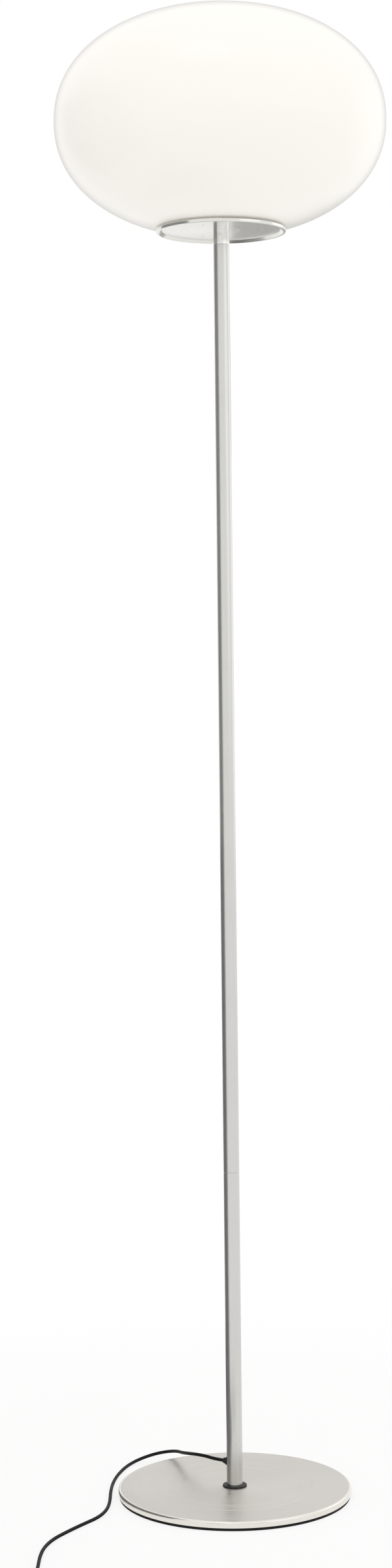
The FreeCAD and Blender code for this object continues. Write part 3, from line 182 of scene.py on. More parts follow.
class GroupMaker:
    """Builds one shader node group with named sockets."""

    def __init__(self, name: str) -> None:
        """Start an empty group.

        Args:
            name: what the group makes.
        """
        self.tree = bpy.data.node_groups.new(name, "ShaderNodeTree")
        self.inlet = self.tree.nodes.new("NodeGroupInput")
        self.outlet = self.tree.nodes.new("NodeGroupOutput")

    def inputs(self, **defaults: float) -> None:
        """Add number inputs with their defaults."""
        for name, default in defaults.items():
            socket = self.tree.interface.new_socket(
                name=name, in_out="INPUT", socket_type="NodeSocketFloat"
            )
            socket.default_value = default

    def outputs(self, *names: str) -> None:
        """Add number outputs."""
        for name in names:
            self.tree.interface.new_socket(
                name=name, in_out="OUTPUT", socket_type="NodeSocketFloat"
            )

    def node(self, kind: str, **settings: object) -> bpy.types.Node:
        """Add a node and set its properties."""
        return add_node(self.tree, kind, **settings)

    def place(self) -> bpy.types.NodeSocket:
        """Where a point is on its object."""
        return self.node("TexCoord").outputs["Object"]

    def take(self, name: str) -> bpy.types.NodeSocket:
        """One of the group's own inputs."""
        return self.inlet.outputs[name]

    def give(self, name: str, source: bpy.types.NodeSocket) -> None:
        """Feed one of the group's outputs."""
        feed(self.outlet.inputs[name], source)

    def noise(self, place: bpy.types.NodeSocket, **inputs: object) -> bpy.types.NodeSocket:
        """Add a noise texture.

        Args:
            place: where it is looked up.
            inputs: numbers or sockets, by the input's name.

        Returns:
            Its value.
        """
        made = self.node("TexNoise")
        feed(made.inputs["Vector"], place)
        for name, value in inputs.items():
            feed(made.inputs[name], value)
        return made.outputs["Fac"]

    def maths(
        self, operation: str, first: object, second: object = None
    ) -> bpy.types.NodeSocket:
        """Add a Math node.

        Args:
            operation: what it does.
            first: a number or a socket.
            second: a number or a socket.

        Returns:
            Its result.
        """
        made = self.node("Math", operation=operation)
        for socket, value in zip(made.inputs, (first, second)):
            if value is not None:
                feed(socket, value)
        return made.outputs[0]

    def spread(
        self, value: bpy.types.NodeSocket, low: float, high: float
    ) -> bpy.types.NodeSocket:
        """Stretch the range low to high over 0 to 1, and clamp it."""
        made = self.node("MapRange", interpolation_type="SMOOTHSTEP")
        for name, given in (("Value", value), ("From Min", low), ("From Max", high)):
            feed(made.inputs[name], given)
        return made.outputs["Result"]


class Effects:
    """The node groups that several finishes share, each built once."""

    def __init__(self) -> None:
        """Build the groups."""
        self.tool_lines = self._tool_lines()
        self.turned_rim = self._turned_rim()
        self.handling = self._handling()
        self.moulding = self._moulding()
        self.dust = self._dust()

    @staticmethod
    def _tool_lines() -> bpy.types.NodeTree:
        """Fine lines that a brush or a lathe leaves, laid out about the z axis."""
        maker = GroupMaker("Tool lines")
        maker.inputs(Around=2.0, Across=1500.0, Along=1500.0)
        maker.outputs("Height", "Streak")
        parts = maker.node("SeparateXYZ")
        feed(parts.inputs[0], maker.place())
        x, y, z = parts.outputs
        square = maker.maths("ADD", maker.maths("MULTIPLY", x, x), maker.maths("MULTIPLY", y, y))
        radius = maker.maths("SQRT", maker.maths("ADD", square, OFF_AXIS))
        across = maker.maths("MULTIPLY", radius, maker.take("Across"))
        spot = maker.node("CombineXYZ")
        for axis, socket in zip((x, y), spot.inputs):
            unit = maker.maths("DIVIDE", axis, radius)
            around = maker.maths("MULTIPLY", unit, maker.take("Around"))
            feed(socket, maker.maths("ADD", around, across))
        feed(spot.inputs[2], maker.maths("MULTIPLY", z, maker.take("Along")))
        for name, scale, detail, low, high in (
            ("Height", 1.0, 4.0, 0.2, 0.8),
            ("Streak", 0.13, 3.0, 0.3, 0.7),
        ):
            lines = maker.noise(spot.outputs[0], Scale=scale, Detail=detail, Roughness=0.6)
            maker.give(name, maker.spread(lines, low, high))
        return maker.tree

    @staticmethod
    def _turned_rim() -> bpy.types.NodeTree:
        """The outermost part of a turned piece, where a rim is polished smoother and gets a painted
        highlight.
        """
        maker = GroupMaker("Turned rim")
        maker.inputs(Radius=1.0, Blend=0.001)
        maker.outputs("Mask")
        flat = maker.node("VectorMath", operation="MULTIPLY")
        flat.inputs[1].default_value = (1.0, 1.0, 0.0)
        feed(flat.inputs[0], maker.place())
        radius = maker.node("VectorMath", operation="LENGTH")
        feed(radius.inputs[0], flat.outputs[0])
        past = maker.maths("SUBTRACT", radius.outputs["Value"], maker.take("Radius"))
        share = maker.maths("DIVIDE", past, maker.take("Blend"))
        maker.give("Mask", maker.spread(share, 0.0, 1.0))
        return maker.tree

    @staticmethod
    def _handling() -> bpy.types.NodeTree:
        """Faint cloudy marks of wiping and touching."""
        maker = GroupMaker("Handling marks")
        maker.inputs(Size=25.0, Amount=0.5)
        maker.outputs("Mask")
        cloud = maker.noise(maker.place(), Scale=maker.take("Size"), Detail=5.0, Distortion=0.6)
        mask = maker.maths("MULTIPLY", maker.spread(cloud, 0.42, 0.75), maker.take("Amount"))
        maker.give("Mask", mask)
        return maker.tree

    @staticmethod
    def _moulding() -> bpy.types.NodeTree:
        """The fine grain of a mould, and a slow mottle under it."""
        maker = GroupMaker("Moulded grain")
        maker.inputs(Size=1500.0)
        maker.outputs("Height", "Mottle")
        place = maker.place()
        cells = maker.node("TexVoronoi", feature="SMOOTH_F1")
        feed(cells.inputs["Vector"], place)
        feed(cells.inputs["Scale"], maker.take("Size"))
        maker.give("Height", cells.outputs["Distance"])
        slow = maker.noise(place, Scale=60.0, Detail=3.0)
        maker.give("Mottle", maker.spread(slow, 0.3, 0.7))
        return maker.tree

    @staticmethod
    def _dust() -> bpy.types.NodeTree:
        """A little dust where a surface faces up."""
        maker = GroupMaker("Resting dust")
        maker.inputs(Amount=0.2)
        maker.outputs("Mask")
        parts = maker.node("SeparateXYZ")
        feed(parts.inputs[0], maker.node("NewGeometry").outputs["Normal"])
        upward = maker.spread(parts.outputs["Z"], 0.35, 0.95)
        specks = maker.noise(maker.place(), Scale=420.0, Detail=4.0)
        mask = maker.maths("MULTIPLY", upward, maker.spread(specks, 0.5, 0.72))
        maker.give("Mask", maker.maths("MULTIPLY", mask, maker.take("Amount")))
        return maker.tree


# ------------------------------------------------------------------------------- finishes


class Bench:
    """Lays out the nodes of one material round its main shader."""

    def __init__(self, name: str, **plain: float | Colour) -> None:
        """Start a material.

        Args:
            name: the material's name.
            plain: numbers and colours that are the same all over, by socket name.
        """
        self.material = bpy.data.materials.new(name)
        self.material.use_nodes = True
        self.tree = self.material.node_tree
        self.shader = self.tree.nodes["Principled BSDF"]
        for socket, value in plain.items():
            feed(self.shader.inputs[socket.replace("_", " ")], value)

    def node(self, kind: str, **settings: object) -> bpy.types.Node:
        """Add a node and set its properties."""
        return add_node(self.tree, kind, **settings)

    def effect(self, group: bpy.types.NodeTree, **values: float) -> bpy.types.Node:
        """Place a shared group with this material's own values."""
        made = self.node("Group", node_tree=group)
        for name, value in values.items():
            feed(made.inputs[name], value)
        return made

    def tint(
        self, mask: bpy.types.NodeSocket, plain: object, marked: Colour
    ) -> bpy.types.NodeSocket:
        """Blend towards a colour where the mask is high.

        Args:
            mask: where the second colour shows.
            plain: the first colour, or a socket that gives it.
            marked: the second colour.

        Returns:
            The blended colour.
        """
        mix = self.node("Mix", data_type="RGBA")
        for name, value in (("Factor", mask), ("A", plain), ("B", marked)):
            feed(mix.inputs[name], value)
        return mix.outputs["Result"]

    def colour(self, source: bpy.types.NodeSocket) -> None:
        """Feed the base colour."""
        feed(self.shader.inputs["Base Color"], source)

    def span(self, mask: bpy.types.NodeSocket, low: object, high: float) -> bpy.types.NodeSocket:
        """Go from low to high with a mask.

        Args:
            mask: 0 for low, 1 for high.
            low: a number, or a socket that gives it.
            high: a number.

        Returns:
            The value between them.
        """
        reach = self.node("MapRange")
        for name, value in (("Value", mask), ("To Min", low), ("To Max", high)):
            feed(reach.inputs[name], value)
        return reach.outputs["Result"]

    def roughness(self, mask: bpy.types.NodeSocket, low: object, high: float) -> None:
        """Vary the roughness from low to high with a mask."""
        feed(self.shader.inputs["Roughness"], self.span(mask, low, high))

    def relief(self, height: bpy.types.NodeSocket, depth: float, strength: float) -> None:
        """Raise the surface by a height.

        Args:
            height: the height, 0 to 1.
            depth: what a height of 1 stands for, in metres.
            strength: how much of it shows.
        """
        bump = self.node("Bump")
        for name, value in (("Distance", depth), ("Strength", strength), ("Height", height)):
            feed(bump.inputs[name], value)
        feed(self.shader.inputs["Normal"], bump.outputs["Normal"])


def deeper(colour: Colour, share: float) -> Colour:
    """The colour times a share."""
    return tuple(min(1.0, part * share) for part in colour)


@dataclass(frozen=True)
class Finish:
    """A surface finish, made into a material once."""

    name: str
    slot: str
    colour: Colour
    roughness: float

    def material(self, effects: Effects) -> bpy.types.Material:
        """Find or build the material.

        Args:
            effects: the shared node groups.

        Returns:
            The material.
        """
        return bpy.data.materials.get(self.name) or self.build(effects)

    def build(self, effects: Effects) -> bpy.types.Material:
        """Build the material; each kind of finish does this its own way."""
        raise NotImplementedError


@dataclass(frozen=True)
class BrushedMetal(Finish):
    """Metal with tool lines."""

    brushing: Brushing = Brushing.AROUND
    anisotropy: float = 0.5
    line_depth: float = 0.25
    dust: float = 0.0
    rim_from: float = 1.0
    # How much brighter the rim's colour is painted: a painted highlight along the edge.
    rim_painted_highlight: float = 1.26

    def build(self, effects: Effects) -> bpy.types.Material:
        """Build the material."""
        turn = 0.25 if self.brushing is Brushing.AROUND else 0.0
        bench = Bench(self.name, Metallic=1.0, Anisotropic=self.anisotropy)
        feed(bench.shader.inputs["Anisotropic Rotation"], turn)
        tangent = bench.node("Tangent", direction_type="RADIAL", axis="Z")
        feed(bench.shader.inputs["Tangent"], tangent.outputs[0])
        around, across, along = self.brushing.value
        lines = bench.effect(effects.tool_lines, Around=around, Across=across, Along=along)
        marks = bench.effect(effects.handling, Size=18.0, Amount=0.5)
        dust = bench.effect(effects.dust, Amount=self.dust)
        brushed = bench.tint(
            lines.outputs["Streak"], deeper(self.colour, 0.93), deeper(self.colour, 1.05)
        )
        handled = bench.tint(marks.outputs["Mask"], brushed, deeper(self.colour, 0.94))
        dusty = bench.tint(dust.outputs["Mask"], handled, (0.62, 0.60, 0.57))
        # Along the rim the colour gets a painted highlight; the lower roughness there is real
        # polish.
        rim = bench.effect(effects.turned_rim, Radius=self.rim_from).outputs["Mask"]
        bench.colour(bench.tint(rim, dusty, deeper(self.colour, self.rim_painted_highlight)))
        rough = bench.span(lines.outputs["Streak"], self.roughness * 0.85, self.roughness * 1.2)
        bench.roughness(rim, rough, self.roughness * 0.5)
        bench.relief(lines.outputs["Height"], TOOL_GRAIN, self.line_depth)
        return bench.material


@dataclass(frozen=True)
class SmoothMetal(Finish):
    """Polished, plated or bare metal without tool lines."""

    stain: Colour = (0.4, 0.4, 0.4)
    stained: float = 0.3

    def build(self, effects: Effects) -> bpy.types.Material:
        """Build the material."""
        bench = Bench(self.name, Metallic=1.0)
        marks = bench.effect(effects.handling, Size=90.0, Amount=self.stained)
        grain = bench.effect(effects.moulding, Size=2600.0)
        bench.colour(bench.tint(marks.outputs["Mask"], self.colour, self.stain))
        bench.roughness(marks.outputs["Mask"], self.roughness, self.roughness + 0.18)
        bench.relief(grain.outputs["Height"], POLISH_GRAIN, 0.15)
        return bench.material


@dataclass(frozen=True)
class OpalGlass(Finish):
    """White flashed glass with an acid-etched, silky outside, a painted glow and a painted shade
    along its outline.
    """

    # An even glow painted into the glass, standing in for light, so that its shading stays flat.
    glow: float = 0.0
    # Painted shade along the outline: the colour darkens where the surface turns away from the view.
    outline_shade_from: float = 0.72
    outline_shade_share: float = 0.5

    def build(self, effects: Effects) -> bpy.types.Material:
        """Build the material."""
        bench = Bench(
            self.name,
            IOR=1.5,
            Specular_IOR_Level=0.3,
            Emission_Color=self.colour,
            Emission_Strength=self.glow,
        )
        marks = bench.effect(effects.handling, Size=5.0, Amount=0.5)
        grain = bench.effect(effects.moulding, Size=900.0)
        body = bench.tint(marks.outputs["Mask"], self.colour, deeper(self.colour, 0.975))
        # Painted shade: towards the outline the colour darkens; thick holds this shade, not the
        # glass's thickness.
        edge = bench.node("MapRange", interpolation_type="SMOOTHSTEP")
        feed(edge.inputs["From Min"], self.outline_shade_from)
        feed(edge.inputs["Value"], bench.node("LayerWeight").outputs["Facing"])
        thick = edge.outputs["Result"]
        bench.colour(bench.tint(thick, body, deeper(self.colour, self.outline_shade_share)))
        bench.roughness(marks.outputs["Mask"], self.roughness, self.roughness + 0.06)
        bench.relief(grain.outputs["Height"], POLISH_GRAIN, 0.08)
        return bench.material


@dataclass(frozen=True)
class ClearCoat(Finish):
    """Glossy moulded plastic or glaze."""

    coat: float = 0.3
    grain: float = 1400.0
    depth: float = 0.1

    def build(self, effects: Effects) -> bpy.types.Material:
        """Build the material."""
        bench = Bench(self.name, IOR=1.5, Coat_Weight=self.coat, Coat_Roughness=0.12)
        grain = bench.effect(effects.moulding, Size=self.grain)
        marks = bench.effect(effects.handling, Size=60.0, Amount=0.6)
        bench.colour(
            bench.tint(grain.outputs["Mottle"], deeper(self.colour, 0.9), deeper(self.colour, 1.08))
        )
        bench.roughness(marks.outputs["Mask"], self.roughness, self.roughness + 0.12)
        bench.relief(grain.outputs["Height"], TOOL_GRAIN, self.depth)
        return bench.material


@dataclass(frozen=True)
class MattePlastic(Finish):
    """Spark-eroded plastic or rubber, with a little dust on top."""

    grain: float = 1100.0
    depth: float = 0.35
    dust: float = 0.12
    gloss: float = 0.5

    def build(self, effects: Effects) -> bpy.types.Material:
        """Build the material."""
        bench = Bench(self.name, IOR=1.47, Specular_IOR_Level=self.gloss)
        grain = bench.effect(effects.moulding, Size=self.grain)
        dust = bench.effect(effects.dust, Amount=self.dust)
        mottled = bench.tint(
            grain.outputs["Mottle"], deeper(self.colour, 0.82), deeper(self.colour, 1.18)
        )
        bench.colour(bench.tint(dust.outputs["Mask"], mottled, (0.34, 0.33, 0.31)))
        bench.roughness(grain.outputs["Mottle"], self.roughness, self.roughness + 0.1)
        bench.relief(grain.outputs["Height"], SPARK_GRAIN, self.depth)
        return bench.material


NICKEL: Colour = (0.655, 0.635, 0.595)
SPUN_NICKEL = BrushedMetal(
    "spun nickel", "nickel_brushed", NICKEL, 0.42, Brushing.AROUND, 0.35, 0.12, 0.08, 0.137
)
# The base's brushed nickel painted brighter on the dish, standing in for the light that it catches.
DISH_NICKEL_PAINTED_BRIGHTER = BrushedMetal("spun nickel of the dish painted brighter", "nickel_brushed", (0.80, 0.79, 0.75), 0.20)
POLE_NICKEL = BrushedMetal(
    "drawn nickel", "nickel_brushed", (0.68, 0.675, 0.655), 0.26, Brushing.ALONG, 0.4, 0.12
)
# Near-white, far lighter than nickel: a highlight painted over the whole neck.
NECK_NICKEL_PAINTED_HIGHLIGHT = SmoothMetal("nickel with a painted highlight", "nickel_bright", (0.97, 0.96, 0.94), 0.22)
RAW_STEEL = SmoothMetal("rolled steel", "steel_raw", (0.30, 0.30, 0.31), 0.42, (0.16, 0.14, 0.13))
ZINC = SmoothMetal("zinc plate", "steel_zinc", (0.60, 0.61, 0.63), 0.28, (0.42, 0.43, 0.44))
BRASS = SmoothMetal("brass", "brass", (0.78, 0.58, 0.30), 0.24, (0.50, 0.34, 0.18))
PIN_NICKEL = SmoothMetal("pin nickel", "pin_nickel", (0.74, 0.71, 0.66), 0.20)
CAP_ALUMINIUM = SmoothMetal("cap aluminium", "cap_aluminium", (0.76, 0.76, 0.77), 0.25)
OPAL = OpalGlass("opal glass", "opal_glass", (0.92, 0.90, 0.86), 0.30, 0.12)
FROSTED = OpalGlass("frosted glass", "bulb_glass", (0.93, 0.92, 0.89), 0.42, 0.10)
CAP_GLASS = ClearCoat("cap glass", "insulator_glass", (0.02, 0.02, 0.025), 0.10, 0.5)
PHENOLIC = ClearCoat("black phenolic", "holder_plastic", (0.022, 0.021, 0.021), 0.25, 0.3)
CORE_WHITE = ClearCoat("white core", "core_plastic", (0.80, 0.79, 0.75), 0.35, 0.2)
WIRE = ClearCoat("core wire", "wire", (0.26, 0.13, 0.07), 0.35, 0.1)
SHEATH = MattePlastic(
    "cord sheath", "cord_black", (0.008, 0.008, 0.0085), 0.5, 700.0, 0.1, 0.0, 0.2
)
RUBBER = MattePlastic(
    "black rubber", "rubber_black", (0.01, 0.01, 0.01), 0.62, 900.0, 0.4, 0.0, 0.2
)
BLACK_PLASTIC = MattePlastic(
    "black plastic", "plastic_black", (0.018, 0.018, 0.019), 0.48, 1100.0, 0.3, 0.03, 0.3
)
BUTTON_GREY = MattePlastic("button grey", "button_grey", (0.075, 0.075, 0.08), 0.5)
SILICONE = MattePlastic("silicone", "silicone", (0.76, 0.75, 0.71), 0.5, 800.0, 0.1, 0.0)


# ------------------------------------------------------------------------------- making pieces


@dataclass(frozen=True)
class Corner:
    """A corner of a turned outline: its radius, its height and how far it is eased."""

    radius: float
    height: float
    ease: float = 0.0


def eased(corners: Sequence[Corner], steps: int = 4, closed: bool = True) -> list[Flat]:
    """Round the corners of an outline.

    Args:
        corners: the outline's corners, in millimetres.
        steps: how many edges a rounded corner gets.
        closed: whether the last corner joins the first.

    Returns:
        The outline's points, in metres.
    """
    points: list[Flat] = []
    count = len(corners)
    for i, corner in enumerate(corners):
        here = Vector((corner.radius, corner.height))
        if corner.ease <= 0 or (not closed and i in (0, count - 1)):
            points.append((here.x * MM, here.y * MM))
            continue
        before, after = corners[i - 1], corners[(i + 1) % count]
        back = (Vector((before.radius, before.height)) - here).normalized()
        on = (Vector((after.radius, after.height)) - here).normalized()
        start, end = here + back * corner.ease, here + on * corner.ease
        for k in range(steps + 1):
            t = k / steps
            spot = start * (1 - t) ** 2 + here * (2 * t * (1 - t)) + end * t**2
            points.append((spot.x * MM, spot.y * MM))
    return points


def add_thing(name: str, data: bpy.types.ID) -> bpy.types.Object:
    """Put a mesh, curve, lamp or camera in the scene as it is."""
    thing = bpy.data.objects.new(name, data)
    bpy.context.scene.collection.objects.link(thing)
    return thing


def add_quad(name: str, corners: Sequence[Point]) -> bpy.types.Object:
    """Put one four-sided face in the scene."""
    mesh = bpy.data.meshes.new(name)
    mesh.from_pydata(corners, [], [(0, 1, 2, 3)])
    return add_thing(name, mesh)


def add_object(name: str, mesh: bpy.types.Mesh) -> bpy.types.Object:
    """Put a mesh in the scene, smooth, with its flat faces kept flat.

    Args:
        name: the piece's name.
        mesh: its mesh.

    Returns:
        The object.
    """
    mesh.shade_smooth()
    thing = add_thing(name, mesh)
    weigh = thing.modifiers.new("flat faces", "WEIGHTED_NORMAL")
    weigh.keep_sharp = True
    return thing


def closed_mesh(
    name: str, points: Sequence[Sequence[float]], faces: Sequence[Sequence[int]]
) -> bpy.types.Mesh:
    """Make a mesh whose faces all look outwards.

    Args:
        name: the mesh's name.
        points: its vertices.
        faces: its faces.

    Returns:
        The mesh.
    """
    mesh = bpy.data.meshes.new(name)
    mesh.from_pydata([tuple(p) for p in points], [], [tuple(f) for f in faces])
    work = bmesh.new()
    work.from_mesh(mesh)
    bmesh.ops.remove_doubles(work, verts=work.verts, dist=TOUCHING)
    bmesh.ops.recalc_face_normals(work, faces=work.faces)
    work.to_mesh(mesh)
    work.free()
    return mesh


Ripple = Callable[[float, float, float], float]


def turned(
    name: str,
    outline: Sequence[Flat],
    segments: int = 96,
    closed: bool = True,
    ripple: Ripple | None = None,
    placing: Matrix | None = None,
) -> bpy.types.Object:
    """Turn an outline about the z axis.

    Args:
        name: the piece's name.
        outline: (radius, height) points in metres.
        segments: how many steps go round.
        closed: whether the outline's last point joins its first.
        ripple: gives an extra radius from the angle, radius and height.
        placing: moves the finished mesh.

    Returns:
        The object.
    """
    points: list[Vector] = []
    rows: list[list[int]] = []
    for radius, height in outline:
        if radius < TOUCHING:
            rows.append([len(points)] * segments)
            points.append(Vector((0, 0, height)))
            continue
        row = []
        for k in range(segments):
            angle = 2 * math.pi * k / segments
            reach = radius + (ripple(angle, radius, height) if ripple else 0.0)
            row.append(len(points))
            points.append(Vector((reach * math.cos(angle), reach * math.sin(angle), height)))
        rows.append(row)
    faces = []
    pairs = list(zip(rows, rows[1:])) + ([(rows[-1], rows[0])] if closed else [])
    for low, high in pairs:
        for k in range(segments):
            ring = [low[k], low[(k + 1) % segments], high[(k + 1) % segments], high[k]]
            face = list(dict.fromkeys(ring))
            if len(face) > 2:
                faces.append(face)
    mesh = closed_mesh(name, points, faces)
    if placing is not None:
        mesh.transform(placing)
    return add_object(name, mesh)


def divided(outline: Sequence[Flat], step: float) -> list[Flat]:
    """Add points along an outline's long edges, so that none is longer than step."""
    points: list[Flat] = []
    for (r0, z0), (r1, z1) in zip(outline, list(outline[1:]) + [outline[0]]):
        count = max(1, math.ceil(math.hypot(r1 - r0, z1 - z0) / step))
        for k in range(count):
            share = k / count
            points.append((r0 + (r1 - r0) * share, z0 + (z1 - z0) * share))
    return points


def rounded_box_ring(half_x: float, half_y: float, corner: float, steps: int = 8) -> list[Flat]:
    """Points round a rectangle with round corners, anticlockwise."""
    points = []
    for i, (sx, sy) in enumerate(((1, 1), (-1, 1), (-1, -1), (1, -1))):
        for k in range(steps + 1):
            angle = math.pi / 2 * (i + k / steps)
            x = sx * (half_x - corner) + corner * math.cos(angle)
            y = sy * (half_y - corner) + corner * math.sin(angle)
            points.append((x, y))
    return points


def ring_faces(rings: int, count: int, closed: bool = False) -> list[list[int]]:
    """Join rings of points with four-sided faces.

    Args:
        rings: how many rings there are.
        count: how many points each has.
        closed: whether the last ring joins the first.

    Returns:
        The faces, as numbers of points.
    """
    faces = []
    for i in range(rings if closed else rings - 1):
        here, on = i * count, (i + 1) % rings * count
        for k in range(count):
            after = (k + 1) % count
            faces.append([here + k, here + after, on + after, on + k])
    return faces


def skinned(name: str, rings: Sequence[Sequence[Vector]]) -> bpy.types.Object:
    """Skin rings of equal count into a closed piece with flat ends.

    Args:
        name: the piece's name.
        rings: its cross-sections, in order.

    Returns:
        The object.
    """
    count = len(rings[0])
    points = [p for ring in rings for p in ring]
    faces = ring_faces(len(rings), count)
    faces.append(list(range(count)))
    faces.append(list(range(len(points) - count, len(points))))
    return add_object(name, closed_mesh(name, points, faces))


def thread_wave(pitch: float, depth: float, low: float, high: float, at: float) -> Ripple:
    """A rolled thread on walls near one radius.

    Args:
        pitch: its rise in one turn.
        depth: how far the wall swings in from that radius.
        low: where the thread starts.
        high: where it ends.
        at: the radius of the walls that carry it.

    Returns:
        The ripple.
    """

    def ripple(angle: float, radius: float, height: float) -> float:
        """Swing the wall in and out, fading at both ends."""
        if abs(radius - at) > 0.0009 or not low < height < high:
            return 0.0
        fade = min(1.0, (height - low) / pitch, (high - height) / pitch)
        phase = 2 * math.pi * height / pitch - angle
        return -depth * fade * (0.5 - 0.5 * math.cos(phase))

    return ripple


class Workshop:
    """Sets finished pieces in the frame and dresses the solids that stay."""

    def __init__(self, frame: dict) -> None:
        """Keep the frame and build the shared effects.
        """
        self.nodes = frame["nodes"]
        self.effects = Effects()

    def dress(self, node: str, finish: Finish) -> None:
        """Give a solid that stays its finish."""
        thing = self.nodes[node]
        material = finish.material(self.effects)
        if not thing.material_slots:
            thing.data.materials.append(material)
        for place in thing.material_slots:
            place.material = material
        LOG.info("dressed %s in %s", node, finish.name)

    def dress_all(self, finish: Finish, *nodes: str) -> None:
        """Give several solids the same finish."""
        for node in nodes:
            self.dress(node, finish)

    def fit(
        self, piece: bpy.types.Object, finish: Finish, body: Body, *replaced: str
    ) -> bpy.types.Object:
        """Finish a piece and set it on its body.

        Args:
            piece: the piece, in place.
            finish: its finish.
            body: the body that it rides on.
            replaced: the solids that it stands for.

        Returns:
            The piece.
        """
        piece.data.materials.clear()
        piece.data.materials.append(finish.material(self.effects))
        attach(piece, body.value)
        if replaced:
            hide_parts(*replaced)
        LOG.info("made %s", piece.name)
        return piece


# ------------------------------------------------------------------------------- studio


@dataclass
class Studio:
    """The camera, a pale floor that runs into the background, and soft light."""

    camera_height: float = 0.9656
    camera_back: float = 3.15416
    camera_side: float = -0.03631
    roll: float = -0.01096
    sensor: float = 36.0
    focal: float = 4008.8
    frame_height: float = 2400.0
    horizon: float = 1060.63
    sky: float = 0.9
    key: float = 4.0
    rim: float = 3.4
    top: float = 3.6
    near_glow: float = 0.8
    near: float = 0.3
    far: float = 1.1
    floor_half: float = 14.0
    floor_drop: float = 0.0002

    def build(self) -> None:
        """Set up the whole studio."""
        self.camera()
        self.floor()
        self.world()
        self.lamps()
        self.card("far card", (-1.7, -1.7), (-1.0, 1.5), (0.0, 2.2), 0.30)
        self.card("near card", (-0.47, -0.47), (-0.27, 0.7), (0.0, 0.75), 0.22)
        self.card("low card", (-0.47, -0.145), (-0.27, 0.7), (0.001, 0.001), 0.19)
        self.card("back card", (0.02, 0.32), (0.5, 0.5), (1.3, 1.5), 0.5)

    def camera(self) -> None:
        """Stand the camera where the photograph was taken from."""
        data = bpy.data.cameras.new("camera")
        data.sensor_fit = "AUTO"
        data.sensor_width = self.sensor
        data.lens = self.sensor * self.focal / self.frame_height
        data.shift_y = (self.horizon - self.frame_height / 2) / self.frame_height
        data.clip_end = 60.0
        camera = add_thing("camera", data)
        spot = Vector((self.camera_side, -self.camera_back, self.camera_height))
        upright = Matrix.Rotation(math.pi / 2, 4, "X") @ Matrix.Rotation(self.roll, 4, "Z")
        camera.matrix_world = Matrix.Translation(spot) @ upright
        bpy.context.scene.camera = camera

    def floor(self) -> None:
        """Lay a wide pale floor: white to the camera, and shaded only by the object."""
        half = self.floor_half
        corners = [(-half, -half, 0), (half, -half, 0), (half, half, 0), (-half, half, 0)]
        floor = add_quad("floor", corners)
        floor.location.z = -self.floor_drop
        bench = Bench(
            "pale floor", Base_Color=(0.93, 0.93, 0.925), Roughness=0.7, Specular_IOR_Level=0.1
        )
        away = bench.node("VectorMath", operation="LENGTH")
        feed(away.inputs[0], bench.node("TexCoord").outputs["Object"])
        glow = bench.node("MapRange", interpolation_type="SMOOTHSTEP")
        for name, value in (
            ("Value", away.outputs["Value"]),
            ("From Min", self.near),
            ("From Max", self.far),
            ("To Min", self.near_glow),
        ):
            feed(glow.inputs[name], value)
        share = bench.node("Math", operation="MULTIPLY")
        feed(share.inputs[0], self.seen(bench.tree))
        feed(share.inputs[1], glow.outputs["Result"])
        self.mixed(share.outputs[0], bench.shader, bench.node("Emission"), "Material Output")
        floor.data.materials.append(bench.material)

    def world(self) -> None:
        """Even light all round, and white where the camera or a gloss sees past everything."""
        world = bpy.data.worlds.new("studio")
        bpy.context.scene.world = world
        world.use_nodes = True
        tree = world.node_tree
        plain = tree.nodes["Background"]
        white = add_node(tree, "Background")
        for node, colour, strength in (
            (plain, (1.0, 0.995, 0.985), self.sky),
            (white, (1.0, 1.0, 1.0), 1.0),
        ):
            feed(node.inputs["Color"], colour)
            feed(node.inputs["Strength"], strength)
        self.mixed(self.seen(tree), plain, white, "World Output")

    @staticmethod
    def mixed(
        share: bpy.types.NodeSocket, first: bpy.types.Node, second: bpy.types.Node, output: str
    ) -> None:
        """Send a mix of two shaders to their tree's output.

        Args:
            share: how much of the second shows.
            first: the first shader.
            second: the second shader.
            output: the name of the output node.
        """
        tree = share.id_data
        mix = add_node(tree, "MixShader")
        for socket, value in zip(mix.inputs, (share, first.outputs[0], second.outputs[0])):
            feed(socket, value)
        feed(tree.nodes[output].inputs["Surface"], mix.outputs[0])

    @staticmethod
    def seen(tree: bpy.types.NodeTree) -> bpy.types.NodeSocket:
        """Tell what the camera, a gloss or clear glass sees from what only lights the lamp.

        Args:
            tree: the node tree that asks.

        Returns:
            1 where it is seen, 0 where it lights.
        """
        path = add_node(tree, "LightPath")
        value = path.outputs["Is Camera Ray"]
        for name in ("Is Glossy Ray", "Is Transmission Ray"):
            either = add_node(tree, "Math", operation="MAXIMUM")
            feed(either.inputs[0], value)
            feed(either.inputs[1], path.outputs[name])
            value = either.outputs[0]
        return value

    def lamps(self) -> None:
        """Hang wide soft lamps at the right, before and behind, and a smaller one overhead."""
        for name, spot, size, power in (
            ("key", (2.5, -1.9, 2.1), 2.2, self.key),
            ("rim", (2.3, 1.4, 1.5), 1.8, self.rim),
            ("top", (-0.3, -1.5, 3.5), 1.0, self.top),
        ):
            data = bpy.data.lights.new(name, "AREA")
            data.shape = "SQUARE"
            data.size = size
            data.energy = power
            lamp = add_thing(name, data)
            lamp.location = spot
            aim = Vector((0, 0, 0.9)) - Vector(spot)
            lamp.rotation_euler = aim.to_track_quat("-Z", "Y").to_euler()

